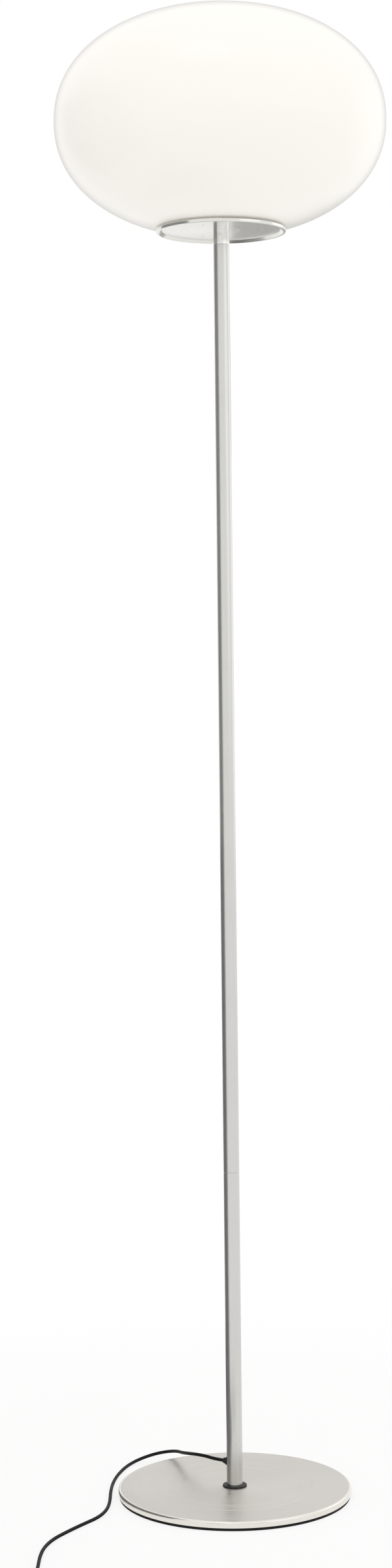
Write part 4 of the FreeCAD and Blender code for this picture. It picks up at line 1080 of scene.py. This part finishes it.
    @staticmethod
    def card(name: str, side: Flat, depth: Flat, height: Flat, grey: float) -> None:
        """Set up a grey card for the metal alone to mirror: upright, or flat on the floor.

        Args:
            name: the card's name.
            side: its x at its two sides.
            depth: its y at its two sides.
            height: its foot and its top.
            grey: how light it is.
        """
        (left, right), (near, far), (low, high) = side, depth, height
        corners = [(left, near, low), (right, far, low), (right, far, high), (left, near, high)]
        if low == high:
            corners = [(left, near, low), (right, near, low), (right, far, low), (left, far, low)]
        card = add_quad(name, corners)
        for ray in ("camera", "diffuse", "transmission", "shadow"):
            setattr(card, f"visible_{ray}", False)
        bench = Bench(name, Base_Color=(grey, grey, grey), Roughness=1.0)
        card.data.materials.append(bench.material)


# ------------------------------------------------------------------------------- cord


@dataclass
class Cord:
    """The supply cord: from the pole to the foot switch, and on through its coil to the plug."""

    radius: float = 0.002
    coil_centre: Flat = (0.027, -0.3493)
    coil_floor: float = 0.0031
    coil_radius: float = 0.0332
    coil_pitch: float = 0.0046
    layer_rise: float = 0.0045
    layer_turns: float = 4.0
    points_per_turn: int = 16
    tie_angles: tuple[float, ...] = (45.0, 135.0)
    tie_width: float = 0.005
    tie_strap: float = 0.0008
    tie_gap: float = 0.0003
    tie_corner: float = 0.0018

    def build(self, shop: Workshop) -> None:
        """Lay both stretches and tie the coil."""
        self.lamp_side = self.laid("cord_from_lamp", LAMP_SIDE_ROUTE)
        shop.fit(self.lamp_side, SHEATH, Body.STAND, "cord_lamp_side")
        route = TO_COIL_ROUTE + self.coil_points() + TO_PLUG_ROUTE
        self.plug_side = self.laid("cord_to_the_plug", route)
        parts = ("cord_to_coil", "cord_coil", "cord_to_plug")
        shop.fit(self.plug_side, SHEATH, Body.STAND, *parts)
        self.ties = [self.tie(shop, i, angle) for i, angle in enumerate(self.tie_angles)]

    def laid(self, name: str, points: Sequence[Point]) -> bpy.types.Object:
        """Lay a round cord along a smooth line.

        Args:
            name: the piece's name.
            points: the line's control points.

        Returns:
            The curve object.
        """
        curve = bpy.data.curves.new(name, "CURVE")
        curve.dimensions = "3D"
        curve.bevel_depth = self.radius
        curve.bevel_resolution = 5
        curve.resolution_u = 8
        curve.use_fill_caps = True
        line = curve.splines.new("NURBS")
        line.points.add(len(points) - 1)
        for point, spot in zip(line.points, points):
            point.co = (*spot, 1.0)
        line.order_u = 3
        line.use_endpoint_u = True
        return add_thing(name, curve)

    def turn_at(self, turns: float) -> tuple[float, float, float]:
        """Where the coil is after that many turns: its radius, angle and height."""
        past = turns - self.layer_turns
        climbed = min(max(past / 0.5 + 0.5, 0.0), 1.0)
        radius = self.coil_radius - self.coil_pitch * (self.layer_turns - abs(past))
        height = self.coil_floor + self.layer_rise * climbed**2 * (3 - 2 * climbed)
        return radius, math.radians(360 * turns - 90), height

    def coil_points(self) -> list[Point]:
        """Control points of the coil's turns: in along the lower layer, out along the upper."""
        outside = 1 / math.cos(math.pi / self.points_per_turn)
        points = []
        for i in range(int(2 * self.layer_turns * self.points_per_turn)):
            radius, angle, height = self.turn_at((i + 0.5) / self.points_per_turn)
            x = self.coil_centre[0] + radius * outside * math.cos(angle)
            y = self.coil_centre[1] + radius * outside * math.sin(angle)
            points.append((x, y, height))
        return points

    def tie(self, shop: Workshop, number: int, angle: float) -> bpy.types.Object:
        """Strap the coil's turns together at one angle.

        Args:
            shop: the workshop.
            number: which tie it is.
            angle: where it is round the coil, in degrees.

        Returns:
            The strap.
        """
        first = (angle + 90) % 360 / 360
        radii = [self.turn_at(first + i)[0] for i in range(int(2 * self.layer_turns))]
        gap = self.radius + self.tie_gap
        near, far = min(radii) - gap, max(radii) + gap
        low, high = self.tie_strap, self.coil_floor + self.layer_rise + gap
        half = Vector(((far - near) / 2, (high - low) / 2))
        middle = Vector(((far + near) / 2, (high + low) / 2))
        points = []
        corner = self.tie_corner
        inner = rounded_box_ring(half.x, half.y, corner, 6)
        strap = self.tie_strap
        outer = rounded_box_ring(half.x + strap, half.y + strap, corner + strap, 6)
        edge = self.tie_width / 2
        for ring, side in ((inner, -edge), (inner, edge), (outer, edge), (outer, -edge)):
            points += [Vector((middle.x + x, side, middle.y + z)) for x, z in ring]
        mesh = closed_mesh("tie", points, ring_faces(4, len(inner), True))
        spot = Matrix.Translation((*self.coil_centre, 0.0))
        mesh.transform(spot @ Matrix.Rotation(math.radians(angle), 4, "Z"))
        strap_piece = add_object(f"coil_tie_{number + 1}", mesh)
        replaced = ("coil_ties",) if number == 0 else ()
        return shop.fit(strap_piece, BLACK_PLASTIC, Body.STAND, *replaced)


# ------------------------------------------------------------------------------- base and pole


@dataclass
class Base:
    """The flat round base: a spun cover over a steel plate, on a soft pad."""

    radius: float = 140.0
    top: float = 10.6
    skirt_foot: float = 3.4
    skin: float = 1.2
    edge: float = 2.6
    hole: float = 5.4
    ring_radius: float = 14.5
    ring_top: float = 12.4

    def build(self, shop: Workshop) -> None:
        """Make the cover and the ring, and dress the rest."""
        under = self.top - self.skin
        inside = self.radius - self.skin
        cover = turned(
            "base_cover_spun",
            eased(
                [
                    Corner(self.hole, under),
                    Corner(inside, under, self.edge - self.skin),
                    Corner(inside, self.skirt_foot, 0.2),
                    Corner(self.radius, self.skirt_foot, 0.4),
                    Corner(self.radius, self.top, self.edge),
                    Corner(self.ring_radius, self.top),
                    Corner(self.hole, self.top),
                ],
                6,
            ),
            256,
        )
        shop.fit(cover, SPUN_NICKEL, Body.STAND, "base_cover")
        ring = turned(
            "foot_ring_moulded",
            eased(
                [
                    Corner(self.hole, self.top),
                    Corner(self.ring_radius, self.top, 0.3),
                    Corner(self.ring_radius, self.ring_top, 0.7),
                    Corner(self.hole, self.ring_top),
                ]
            ),
        )
        shop.fit(ring, BLACK_PLASTIC, Body.STAND, "foot_ring")
        shop.dress("base_weight", RAW_STEEL)
        shop.dress("base_pad", RUBBER)
        shop.dress("base_bolt", ZINC)


@dataclass
class Pole:
    """The pole's tubes, what joins them, and the cord's way out."""

    exit_height: float = 39.1
    exit_turn: float = 150.0
    wall: float = 9.5
    sunk: float = 3.5
    core: float = 3.85
    flange: float = 5.0
    flange_depth: float = 1.5
    nose: float = 4.1
    taper: float = 1.3
    groove: float = 0.55
    rib_share: float = 0.62
    shoulder_radius: float = 2.7
    tip_radius: float = 2.6
    tip: float = 15.5
    ribs: int = 3

    def build(self, shop: Workshop) -> None:
        """Dress the tubes and make the cord's bushing."""
        shop.dress_all(POLE_NICKEL, "pole_lower", "pole_upper")
        shop.dress_all(ZINC, "foot_plug", "joint_socket", "joint_stud", "head_plug")
        shop.dress("inner_lead", SHEATH)
        shop.fit(self.bushing(), BLACK_PLASTIC, Body.STAND, "cord_bushing")

    def bushing(self) -> bpy.types.Object:
        """A flanged bushing with a ribbed, tapered nose, pointing along its own z axis."""
        back, start = self.wall - self.sunk, self.wall + self.flange_depth
        length = self.tip - start
        corners = [Corner(0.0, back), Corner(self.core, back, 0.3)]
        corners += [Corner(self.core, self.wall - 1.0), Corner(self.flange, self.wall - 0.9, 0.2)]
        corners += [Corner(self.flange, start, 0.5)]
        for i in range(self.ribs):
            low = start + length * i / self.ribs
            high = start + length * (i + self.rib_share) / self.ribs
            after = start + length * (i + 1) / self.ribs
            radius = self.nose - self.taper * i / self.ribs
            sunk = radius - self.groove
            corners += [Corner(radius, low + 0.05), Corner(radius - 0.1, high, 0.15)]
            corners += [Corner(sunk, high + 0.1, 0.1), Corner(sunk, after - 0.05)]
        corners += [Corner(self.shoulder_radius, self.tip - 0.04)]
        corners += [Corner(self.tip_radius, self.tip, 0.1), Corner(0.0, self.tip)]
        outward = Matrix.Rotation(math.radians(self.exit_turn), 4, "Z")
        outward = outward @ Matrix.Rotation(math.pi / 2, 4, "Y")
        spot = Matrix.Translation((0, 0, self.exit_height * MM))
        return turned(
            "bushing_ribbed", eased(corners, 3, False), 48, False, None, spot @ outward
        )


# ------------------------------------------------------------------------------- head


@dataclass
class Head:
    """The neck, the dish, the glass's clips and what clamps them together."""

    neck_radius: float = 9.85
    neck_foot: float = 1505.2
    dish_under: float = 1522.2
    bore: float = 5.1
    washer_top: float = 1524.8
    nut_top: float = 1528.8
    nut_flats: float = 14.0
    nipple_radius: float = 5.0
    nipple_bore: float = 3.6
    nipple_foot: float = 1489.2
    nipple_top: float = 1537.5
    nipple_pitch: float = 0.001
    nipple_thread_depth: float = 0.0005

    def build(self, shop: Workshop) -> None:
        """Make the neck, the nut and the nipple, and dress the rest."""
        neck = turned(
            "neck_painted_bright",
            eased(
                [
                    Corner(self.bore, self.neck_foot),
                    Corner(self.neck_radius, self.neck_foot, 0.5),
                    Corner(self.neck_radius, self.dish_under, 0.15),
                    Corner(self.bore, self.dish_under),
                ]
            ),
            128,
        )
        shop.fit(neck, NECK_NICKEL_PAINTED_HIGHLIGHT, Body.STAND, "neck_sleeve")
        shop.dress("dish", DISH_NICKEL_PAINTED_BRIGHTER)
        shop.dress("globe_gasket", SILICONE)
        clips = ("globe_clip_1", "globe_clip_2", "globe_clip_3", "clip_rivets")
        shop.dress_all(ZINC, "head_washer", *clips)
        shop.fit(self.nut(), ZINC, Body.STAND, "head_nut")
        shop.fit(self.nipple(), ZINC, Body.STAND, "head_nipple")

    def nut(self) -> bpy.types.Object:
        """A hexagon nut with chamfered corners and an eased bore."""
        apothem = self.nut_flats / 2
        corner = apothem / math.cos(math.pi / 6)
        height = self.nut_top - self.washer_top
        rows = [
            (self.bore + 0.5, 0.0, 0.0),
            (apothem * 0.97, 0.0, 0.0),
            (corner, 0.12 * height, 1.0),
            (corner, 0.88 * height, 1.0),
            (apothem * 0.97, height, 0.0),
            (self.bore + 0.5, height, 0.0),
            (self.bore, height - 0.4, 0.0),
            (self.bore, 0.4, 0.0),
        ]
        segments = 96
        points = []
        for radius, rise, hexed in rows:
            for k in range(segments):
                angle = 2 * math.pi * k / segments
                part = (angle + math.pi / 6) % (math.pi / 3) - math.pi / 6
                flat = apothem / math.cos(part)
                reach = (min(radius, flat) if hexed else radius) * MM
                level = (self.washer_top + rise) * MM
                points.append((reach * math.cos(angle), reach * math.sin(angle), level))
        faces = ring_faces(len(rows), segments, True)
        return add_object("nut_chamfered", closed_mesh("nut", points, faces))

    def nipple(self) -> bpy.types.Object:
        """The hollow threaded tube, with its thread cut into it."""
        outline = eased(
            [
                Corner(self.nipple_bore, self.nipple_foot, 0.2),
                Corner(self.nipple_radius, self.nipple_foot, 0.5),
                Corner(self.nipple_radius, self.nipple_top, 0.5),
                Corner(self.nipple_bore, self.nipple_top, 0.2),
            ],
            3,
        )
        wave = thread_wave(
            self.nipple_pitch,
            self.nipple_thread_depth,
            self.nipple_foot * MM,
            self.nipple_top * MM,
            self.nipple_radius * MM,
        )
        return turned("nipple_threaded", divided(outline, 0.0002), 48, True, wave)


@dataclass
class Glass:
    """The opal globe."""

    radius: float = 200.0
    half_height: float = 134.6
    squareness: float = 2.157
    seat: float = 1525.0
    middle_rise: float = 127.5
    wall: float = 3.0
    mouth: float = 60.0
    steps: int = 72

    def side(self, inset: float, drop: float) -> list[Flat]:
        """Points down the oval from its top.

        Args:
            inset: how far inside the outer surface it is.
            drop: how far below the waist it ends.

        Returns:
            The points, in metres.
        """
        wide, high = self.radius - inset, self.half_height - inset
        last = math.asin((drop / high) ** (self.squareness / 2))
        middle = self.seat + self.middle_rise
        points = []
        for i in range(self.steps + 1):
            angle = math.pi / 2 - (math.pi / 2 + last) * i / self.steps
            across, up = math.cos(angle), math.sin(angle)
            radius = wide * abs(across) ** (2 / self.squareness) if i else 0.0
            rise = math.copysign(high * abs(up) ** (2 / self.squareness), up)
            points.append((radius * MM, (middle + rise) * MM))
        return points

    def build(self, shop: Workshop) -> None:
        """Blow the globe, with a fire-polished mouth."""
        outer = self.side(0.0, self.middle_rise)
        inner = self.side(self.wall, self.middle_rise - self.wall)
        foot = outer[-1][0] / MM
        hollow = inner[-1][0] / MM
        mouth = eased(
            [
                Corner(foot, self.seat),
                Corner(self.mouth, self.seat, 1.3),
                Corner(self.mouth, self.seat + self.wall, 1.3),
                Corner(hollow, self.seat + self.wall),
            ],
            6,
            False,
        )
        outline = outer[:-1] + mouth + inner[-2::-1]
        globe = turned("globe_blown", outline, 224, False)
        shop.fit(globe, OPAL, Body.GLASS, "globe")


@dataclass
class Lampholder:
    """The phenolic lampholder with its brass thread."""

    radius: float = 19.5
    foot: float = 1528.8
    cap_top: float = 1550.8
    sleeve_top: float = 1585.8
    sleeve_bore: float = 17.5
    lip: float = 14.4
    cavity: float = 16.3
    bore: float = 5.1
    boss: float = 8.0
    boss_top: float = 1537.8
    thread_radius: float = 13.6
    thread_foot: float = 1557.8
    thread_top: float = 1581.8
    thread_skin: float = 0.6
    thread_swing: float = 0.0006
    flutes: int = 36
    flute_depth: float = 0.00045
    flute_fade: float = 0.0015

    def build(self, shop: Workshop) -> None:
        """Make the shells and the thread, and dress the inner works."""
        cap = turned(
            "holder_cap_moulded",
            eased(
                [
                    Corner(self.bore, self.foot),
                    Corner(self.radius - 3, self.foot, 0.6),
                    Corner(self.radius, self.foot + 3, 1.2),
                    Corner(self.radius, self.cap_top, 0.4),
                    Corner(self.cavity, self.cap_top, 0.3),
                    Corner(self.cavity, self.foot + 3, 0.6),
                    Corner(self.boss, self.foot + 3, 0.6),
                    Corner(self.boss, self.boss_top, 0.5),
                    Corner(self.bore, self.boss_top),
                ]
            ),
            128,
        )
        shop.fit(cap, PHENOLIC, Body.STAND, "holder_cap")
        shop.fit(self.sleeve(), PHENOLIC, Body.STAND, "holder_sleeve")
        shop.fit(self.thread(), BRASS, Body.STAND, "holder_thread")
        shop.dress("holder_core", CORE_WHITE)
        shop.dress_all(BRASS, "holder_contact", "holder_terminals")
        shop.dress("holder_wires", WIRE)

    def sleeve(self) -> bpy.types.Object:
        """The outer sleeve: fluted for grip below its smooth mouth."""
        outline = eased(
            [
                Corner(self.sleeve_bore, self.cap_top, 0.3),
                Corner(self.radius, self.cap_top, 0.4),
                Corner(self.radius, self.sleeve_top, 1.0),
                Corner(self.lip, self.sleeve_top, 0.6),
                Corner(self.lip, self.sleeve_top - 2, 0.4),
                Corner(self.sleeve_bore, self.sleeve_top - 2, 0.4),
            ]
        )
        low, high = (self.cap_top + 2) * MM, (self.sleeve_top - 8) * MM

        def flute(angle: float, radius: float, height: float) -> float:
            """Cut shallow flutes into the outside."""
            if radius < (self.radius - 0.2) * MM or not low < height < high:
                return 0.0
            fade = min(1.0, min(height - low, high - height) / self.flute_fade)
            return -self.flute_depth * fade * max(0.0, math.cos(angle * self.flutes)) ** 0.6

        return turned("holder_sleeve_fluted", divided(outline, 0.0007), 288, True, flute)

    def thread(self) -> bpy.types.Object:
        """The rolled brass thread, open at both ends."""
        skin = self.thread_skin
        outer = self.thread_radius + skin
        outline = eased(
            [
                Corner(self.thread_radius, self.thread_foot, 0.15),
                Corner(outer, self.thread_foot, 0.15),
                Corner(outer, self.thread_top, 0.15),
                Corner(self.thread_radius, self.thread_top, 0.15),
            ]
        )
        low, high = (self.thread_foot + 2) * MM, (self.thread_top - 0.5) * MM
        middle = (self.thread_radius + skin / 2) * MM
        wave = thread_wave(CAP_PITCH, -self.thread_swing, low, high, middle)
        return turned("holder_thread_rolled", divided(outline, 0.0004), 96, True, wave)


@dataclass
class Bulb:
    """The screw-cap bulb."""

    cap_radius: float = 12.8
    cap_foot: float = 1568.0
    cap_top: float = 1588.0
    skin: float = 0.5
    foot_radius: float = 11.4
    ball: float = 30.0
    ball_middle: float = 1637.5
    neck_top: float = 1596.0
    thread_depth: float = 0.0008
    bend_steps: int = 6
    ball_steps: int = 40

    def build(self, shop: Workshop) -> None:
        """Make the cap and the envelope, and dress the foot."""
        shop.fit(self.cap(), CAP_ALUMINIUM, Body.BULB, "bulb_cap")
        shop.fit(self.envelope(), FROSTED, Body.BULB, "bulb_envelope")
        shop.dress("bulb_insulator", CAP_GLASS)
        shop.dress("bulb_contact", PIN_NICKEL)

    def cap(self) -> bpy.types.Object:
        """The rolled cap with its thread."""
        inside = self.cap_radius - self.skin
        outline = eased(
            [
                Corner(self.foot_radius - 1, self.cap_foot),
                Corner(self.foot_radius, self.cap_foot, 0.2),
                Corner(self.cap_radius, self.cap_foot + 2, 0.4),
                Corner(self.cap_radius, self.cap_top - 0.3, 0.2),
                Corner(inside, self.cap_top - 0.3, 0.1),
                Corner(inside, self.cap_foot + 2.2, 0.3),
                Corner(self.foot_radius - 1, self.cap_foot + 0.5),
            ]
        )
        low, high = (self.cap_foot + 1.6) * MM, (self.cap_top - 3.5) * MM
        middle = (self.cap_radius - self.skin / 2) * MM
        wave = thread_wave(CAP_PITCH, self.thread_depth, low, high, middle)
        return turned("bulb_cap_rolled", divided(outline, 0.0004), 96, True, wave)

    def envelope(self) -> bpy.types.Object:
        """The pear-shaped glass, open at its neck."""
        outline = self.wall_points(self.cap_radius, self.ball)
        outline += self.wall_points(self.cap_radius - 1, self.ball - 1)[::-1]
        return turned("bulb_envelope_blown", outline, 128, False)

    def wall_points(self, neck: float, ball: float) -> list[Flat]:
        """One wall of the envelope, from its open foot to its top.

        Args:
            neck: the neck's radius.
            ball: the ball's radius.

        Returns:
            The wall's points, in metres.
        """
        away = Vector((neck, self.neck_top - self.ball_middle))
        turn = math.atan2(away.y, away.x) + math.acos(ball / away.length)
        points = [(neck * MM, self.cap_top * MM), (neck * MM, (self.neck_top - 2) * MM)]
        touch = Vector((ball * math.cos(turn), self.ball_middle + ball * math.sin(turn)))
        shoulder = Vector((neck, self.neck_top))
        for k in range(1, self.bend_steps + 1):
            t = k / self.bend_steps
            start = Vector((neck, self.neck_top - 2))
            end = shoulder.lerp(touch, 0.25)
            spot = start * (1 - t) ** 2 + shoulder * (2 * t * (1 - t)) + end * t**2
            points.append((spot.x * MM, spot.y * MM))
        for k in range(self.ball_steps + 1):
            angle = turn + (math.pi / 2 - turn) * k / self.ball_steps
            radius = ball * math.cos(angle) if k < self.ball_steps else 0.0
            points.append((radius * MM, (self.ball_middle + ball * math.sin(angle)) * MM))
        return points


# ------------------------------------------------------------------------------- switch and plug


@dataclass
class FootSwitch:
    """The foot switch on the cord."""

    centre: Flat = (-108.0, -362.0)
    half_length: float = 40.0
    split: float = 9.0
    button_foot: float = 17.2
    button_radius: float = 12.5
    button_flange: float = 14.3
    button_top: float = 25.0
    relief_length: float = 14.0
    relief_grooves: int = 4
    relief_flange: float = 5.2
    relief_throat: float = 3.9
    relief_root: float = 4.6
    relief_taper: float = 1.8
    relief_tip: float = 2.8
    screw_spots: tuple[Flat, Flat] = ((24.0, 11.0), (-24.0, -11.0))
    pieces: list[object] = field(default_factory=list)
    plug_side: list[object] = field(default_factory=list)

    def build(self, shop: Workshop) -> None:
        """Make the button, the reliefs and the screws, and dress the rest."""
        button = shop.fit(self.button(), BUTTON_GREY, Body.FOOT_BUTTON, "switch_button")
        left = shop.fit(self.relief(-1), RUBBER, Body.STAND, "switch_relief_lamp")
        right = shop.fit(self.relief(1), RUBBER, Body.STAND, "switch_relief_plug")
        to_plug, from_lamp = (self.screw_piece(spot) for spot in self.screw_spots)
        shop.fit(to_plug, ZINC, Body.STAND, "switch_screws")
        shop.fit(from_lamp, ZINC, Body.STAND)
        shop.dress_all(BLACK_PLASTIC, "switch_base", "switch_cover")
        shop.dress("switch_plunger", BUTTON_GREY)
        shop.dress("switch_block", CORE_WHITE)
        shop.dress("switch_terminals", BRASS)
        shop.dress("switch_wires", WIRE)
        kept = ("base", "cover", "plunger", "block", "terminals", "wires")
        solids = [shop.nodes[f"switch_{name}"] for name in kept]
        self.pieces = [button, left, from_lamp, *solids]
        self.plug_side = [right, to_plug]

    def button(self) -> bpy.types.Object:
        """The round button: a flange, a waist and a crowned top with two grip rings."""
        shoulder = self.button_foot + 1.5
        top = self.button_top
        outline = eased(
            [
                Corner(0.0, self.button_foot),
                Corner(self.button_flange, self.button_foot, 0.3),
                Corner(self.button_flange, shoulder, 0.3),
                Corner(self.button_radius, shoulder, 0.2),
                Corner(self.button_radius, top - 1.6, 0.8),
                Corner(self.button_radius - 1.1, top - 0.75, 0.5),
                Corner(9.6, top - 0.45, 0.2),
                Corner(9.3, top - 0.8, 0.2),
                Corner(8.6, top - 0.78, 0.2),
                Corner(8.3, top - 0.33, 0.2),
                Corner(6.2, top - 0.18, 0.2),
                Corner(5.9, top - 0.55, 0.2),
                Corner(5.2, top - 0.53, 0.2),
                Corner(4.9, top - 0.1, 0.2),
                Corner(0.0, top),
            ],
            4,
            False,
        )
        spot = Matrix.Translation((self.centre[0] * MM, self.centre[1] * MM, 0))
        return turned("button_crowned", outline, 96, False, None, spot)

    def relief(self, side: int) -> bpy.types.Object:
        """A grooved, tapered strain relief.

        Args:
            side: -1 at the lamp's end, 1 at the plug's.

        Returns:
            The object.
        """
        flange, throat, root = self.relief_flange, self.relief_throat, self.relief_root
        corners = [Corner(0.0, -3.5), Corner(flange, -3.5, 0.2), Corner(flange, -2.05, 0.2)]
        corners += [Corner(throat, -2.05), Corner(throat, 0.05), Corner(root, 0.05, 0.2)]
        pitch = (self.relief_length - 2.0) / self.relief_grooves
        for i in range(self.relief_grooves):
            low = 1.2 + pitch * i
            high = low + pitch * 0.6
            wide = root - self.relief_taper * low / self.relief_length
            corners += [Corner(wide, low, 0.15), Corner(wide - 0.75, low + 0.2, 0.1)]
            corners += [Corner(wide - 0.85, high, 0.1), Corner(wide - 0.2, high + 0.2, 0.15)]
        corners += [Corner(self.relief_tip, self.relief_length, 0.3)]
        corners += [Corner(0.0, self.relief_length)]
        along = Matrix.Rotation(math.pi / 2 * side, 4, "Y")
        x = self.centre[0] + self.half_length * side
        spot = Matrix.Translation((x * MM, self.centre[1] * MM, self.split * MM))
        name = "relief_to_plug" if side > 0 else "relief_from_lamp"
        return turned(name, eased(corners, 3, False), 64, False, None, spot @ along)

    def screw_piece(self, spot: Flat) -> bpy.types.Object:
        """One pan-head screw, seen from below, with a crossed slot.

        Args:
            spot: where it is, from the switch's middle.

        Returns:
            The object.
        """
        work = bmesh.new()
        x, y = spot
        self.screw(work, (self.centre[0] + x) * MM, (self.centre[1] + y) * MM)
        mesh = bpy.data.meshes.new("screw")
        bmesh.ops.recalc_face_normals(work, faces=work.faces)
        work.to_mesh(mesh)
        work.free()
        return add_object("screw_to_plug" if x > 0 else "screw_from_lamp", mesh)

    @staticmethod
    def screw(work: bmesh.types.BMesh, x: float, y: float) -> None:
        """Add one screw to a mesh: a head with a crossed slot in its lower face, and a shank.

        Args:
            work: the mesh.
            x: where its axis is.
            y: where its axis is.
        """
        segments = 48
        levels = [(2.9, 0.5), (2.9, 2.1), (1.5, 2.1), (1.5, 13.6), (0.9, 14.3)]
        slot, arm, face, floor = 0.38, 1.7, 0.42, 1.3
        rings = []
        for radius, height in levels:
            ring = []
            for k in range(segments):
                angle = 2 * math.pi * k / segments
                spot = (x + radius * MM * math.cos(angle), y + radius * MM * math.sin(angle))
                ring.append(work.verts.new((*spot, height * MM)))
            rings.append(ring)
        for low, high in zip(rings, rings[1:]):
            for k in range(segments):
                after = (k + 1) % segments
                work.faces.new([low[k], low[after], high[after], high[k]])
        work.faces.new(rings[-1])
        cross = []
        for i in range(4):
            turn = Matrix.Rotation(math.pi / 2 * i, 2)
            for px, py in ((arm, -slot), (arm, slot), (slot, slot)):
                cross.append(turn @ Vector((px, py)))
        rim, sunk = [], []
        for spot in cross:
            place = (x + spot.x * MM, y + spot.y * MM)
            rim.append(work.verts.new((*place, face * MM)))
            sunk.append(work.verts.new((*place, floor * MM)))
        for k in range(len(cross)):
            after = (k + 1) % len(cross)
            work.faces.new([rim[k], rim[after], sunk[after], sunk[k]])
        work.faces.new(sunk)
        head = rings[0]
        joined = [work.edges.get((rim[k], rim[(k + 1) % len(rim)])) for k in range(len(rim))]
        joined += [work.edges.get((head[k], head[(k + 1) % segments])) for k in range(segments)]
        bmesh.ops.triangle_fill(work, edges=joined, use_beauty=True)


@dataclass
class Plug:
    """The moulded two-pin plug, lying flat."""

    relief_end: Point = (98.0, -374.0, 6.85)
    relief_length: float = 24.0
    half_width: float = 17.6
    half_thickness: float = 6.85
    back_half_width: float = 8.0
    grooves: int = 5
    relief_root: float = 5.0
    relief_tip: float = 2.75
    groove_from: float = 2.85
    groove_spread: float = 2.1
    pieces: list[object] = field(default_factory=list)

    def build(self, shop: Workshop) -> None:
        """Mould the body over its strain relief, and dress the pins."""
        body = shop.fit(self.body(), BLACK_PLASTIC, Body.STAND, "plug_body")
        relief = shop.fit(self.relief(), BLACK_PLASTIC, Body.STAND)
        shop.dress("plug_pins", PIN_NICKEL)
        shop.dress("pin_sleeves", BLACK_PLASTIC)
        self.pieces = [body, relief, shop.nodes["plug_pins"], shop.nodes["pin_sleeves"]]

    def section(self, x: float, half_y: float, half_z: float, corner: float) -> list[Vector]:
        """One cross-section of the body, square to its length."""
        start = self.relief_end[0] + self.relief_length
        ring = rounded_box_ring(half_y, half_z, corner, 8)
        return [
            Vector(((start + x) * MM, (self.relief_end[1] + y) * MM, (self.relief_end[2] + z) * MM))
            for y, z in ring
        ]

    def body(self) -> bpy.types.Object:
        """The body: wide at the pins, waisted where fingers hold it, narrow at the cord."""
        wide, thick, back = self.half_width, self.half_thickness, self.back_half_width
        shape = [
            (0.0, back - 1.4, thick - 2.6, 3.4),
            (0.6, back - 0.5, thick - 1.6, 4.0),
            (2.0, back + 0.6, thick - 0.9, 4.4),
            (5.0, back + 2.0, thick - 0.6, 4.6),
            (9.0, back + 3.6, thick - 0.9, 4.4),
            (13.0, back + 5.2, thick - 1.1, 4.2),
            (17.0, back + 7.0, thick - 0.8, 4.2),
            (20.5, back + 8.8, thick - 0.3, 4.0),
            (23.5, wide - 0.1, thick, 3.8),
            (27.0, wide, thick, 3.6),
            (34.6, wide, thick, 3.2),
            (35.6, wide - 0.3, thick - 0.3, 3.0),
            (36.0, wide - 0.9, thick - 0.9, 2.6),
        ]
        return skinned("plug_moulded", [self.section(*row) for row in shape])

    def relief(self) -> bpy.types.Object:
        """The grooved, tapered relief behind the body."""
        root = self.relief_root
        corners = [Corner(0.0, self.relief_length + 3), Corner(root, self.relief_length + 3)]
        corners += [Corner(root, self.relief_length - 1.5, 0.4)]
        pitch = (self.relief_length - 4.0) / self.grooves
        for i in range(self.grooves):
            high = self.relief_length - 2.5 - pitch * i
            low = high - pitch * 0.55
            wide = self.groove_from + self.groove_spread * high / self.relief_length
            corners += [Corner(wide, high, 0.2), Corner(wide - 0.9, high - 0.3, 0.15)]
            corners += [Corner(wide - 1.0, low, 0.15), Corner(wide - 0.15, low - 0.3, 0.2)]
        corners += [Corner(self.relief_tip, 0.0, 0.3), Corner(0.0, 0.0)]
        spot = Matrix.Translation([part * MM for part in self.relief_end])
        along = Matrix.Rotation(math.pi / 2, 4, "Y")
        return turned("plug_relief", eased(corners, 3, False), 64, False, None, spot @ along)


# ------------------------------------------------------------------------------- the whole lamp


def main() -> None:
    """Build the lamp."""
    logging.basicConfig(level=logging.INFO, format="%(name)s: %(message)s")
    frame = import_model()
    bpy.context.scene.view_settings.view_transform = "Standard"
    Studio().build()
    shop = Workshop(frame)
    cord = Cord()
    cord.build(shop)
    switch = FootSwitch()
    switch.build(shop)
    plug = Plug()
    plug.build(shop)
    for part in (Base(), Pole(), Head(), Glass(), Lampholder(), Bulb()):
        part.build(shop)


if __name__ == "__main__":
    main()
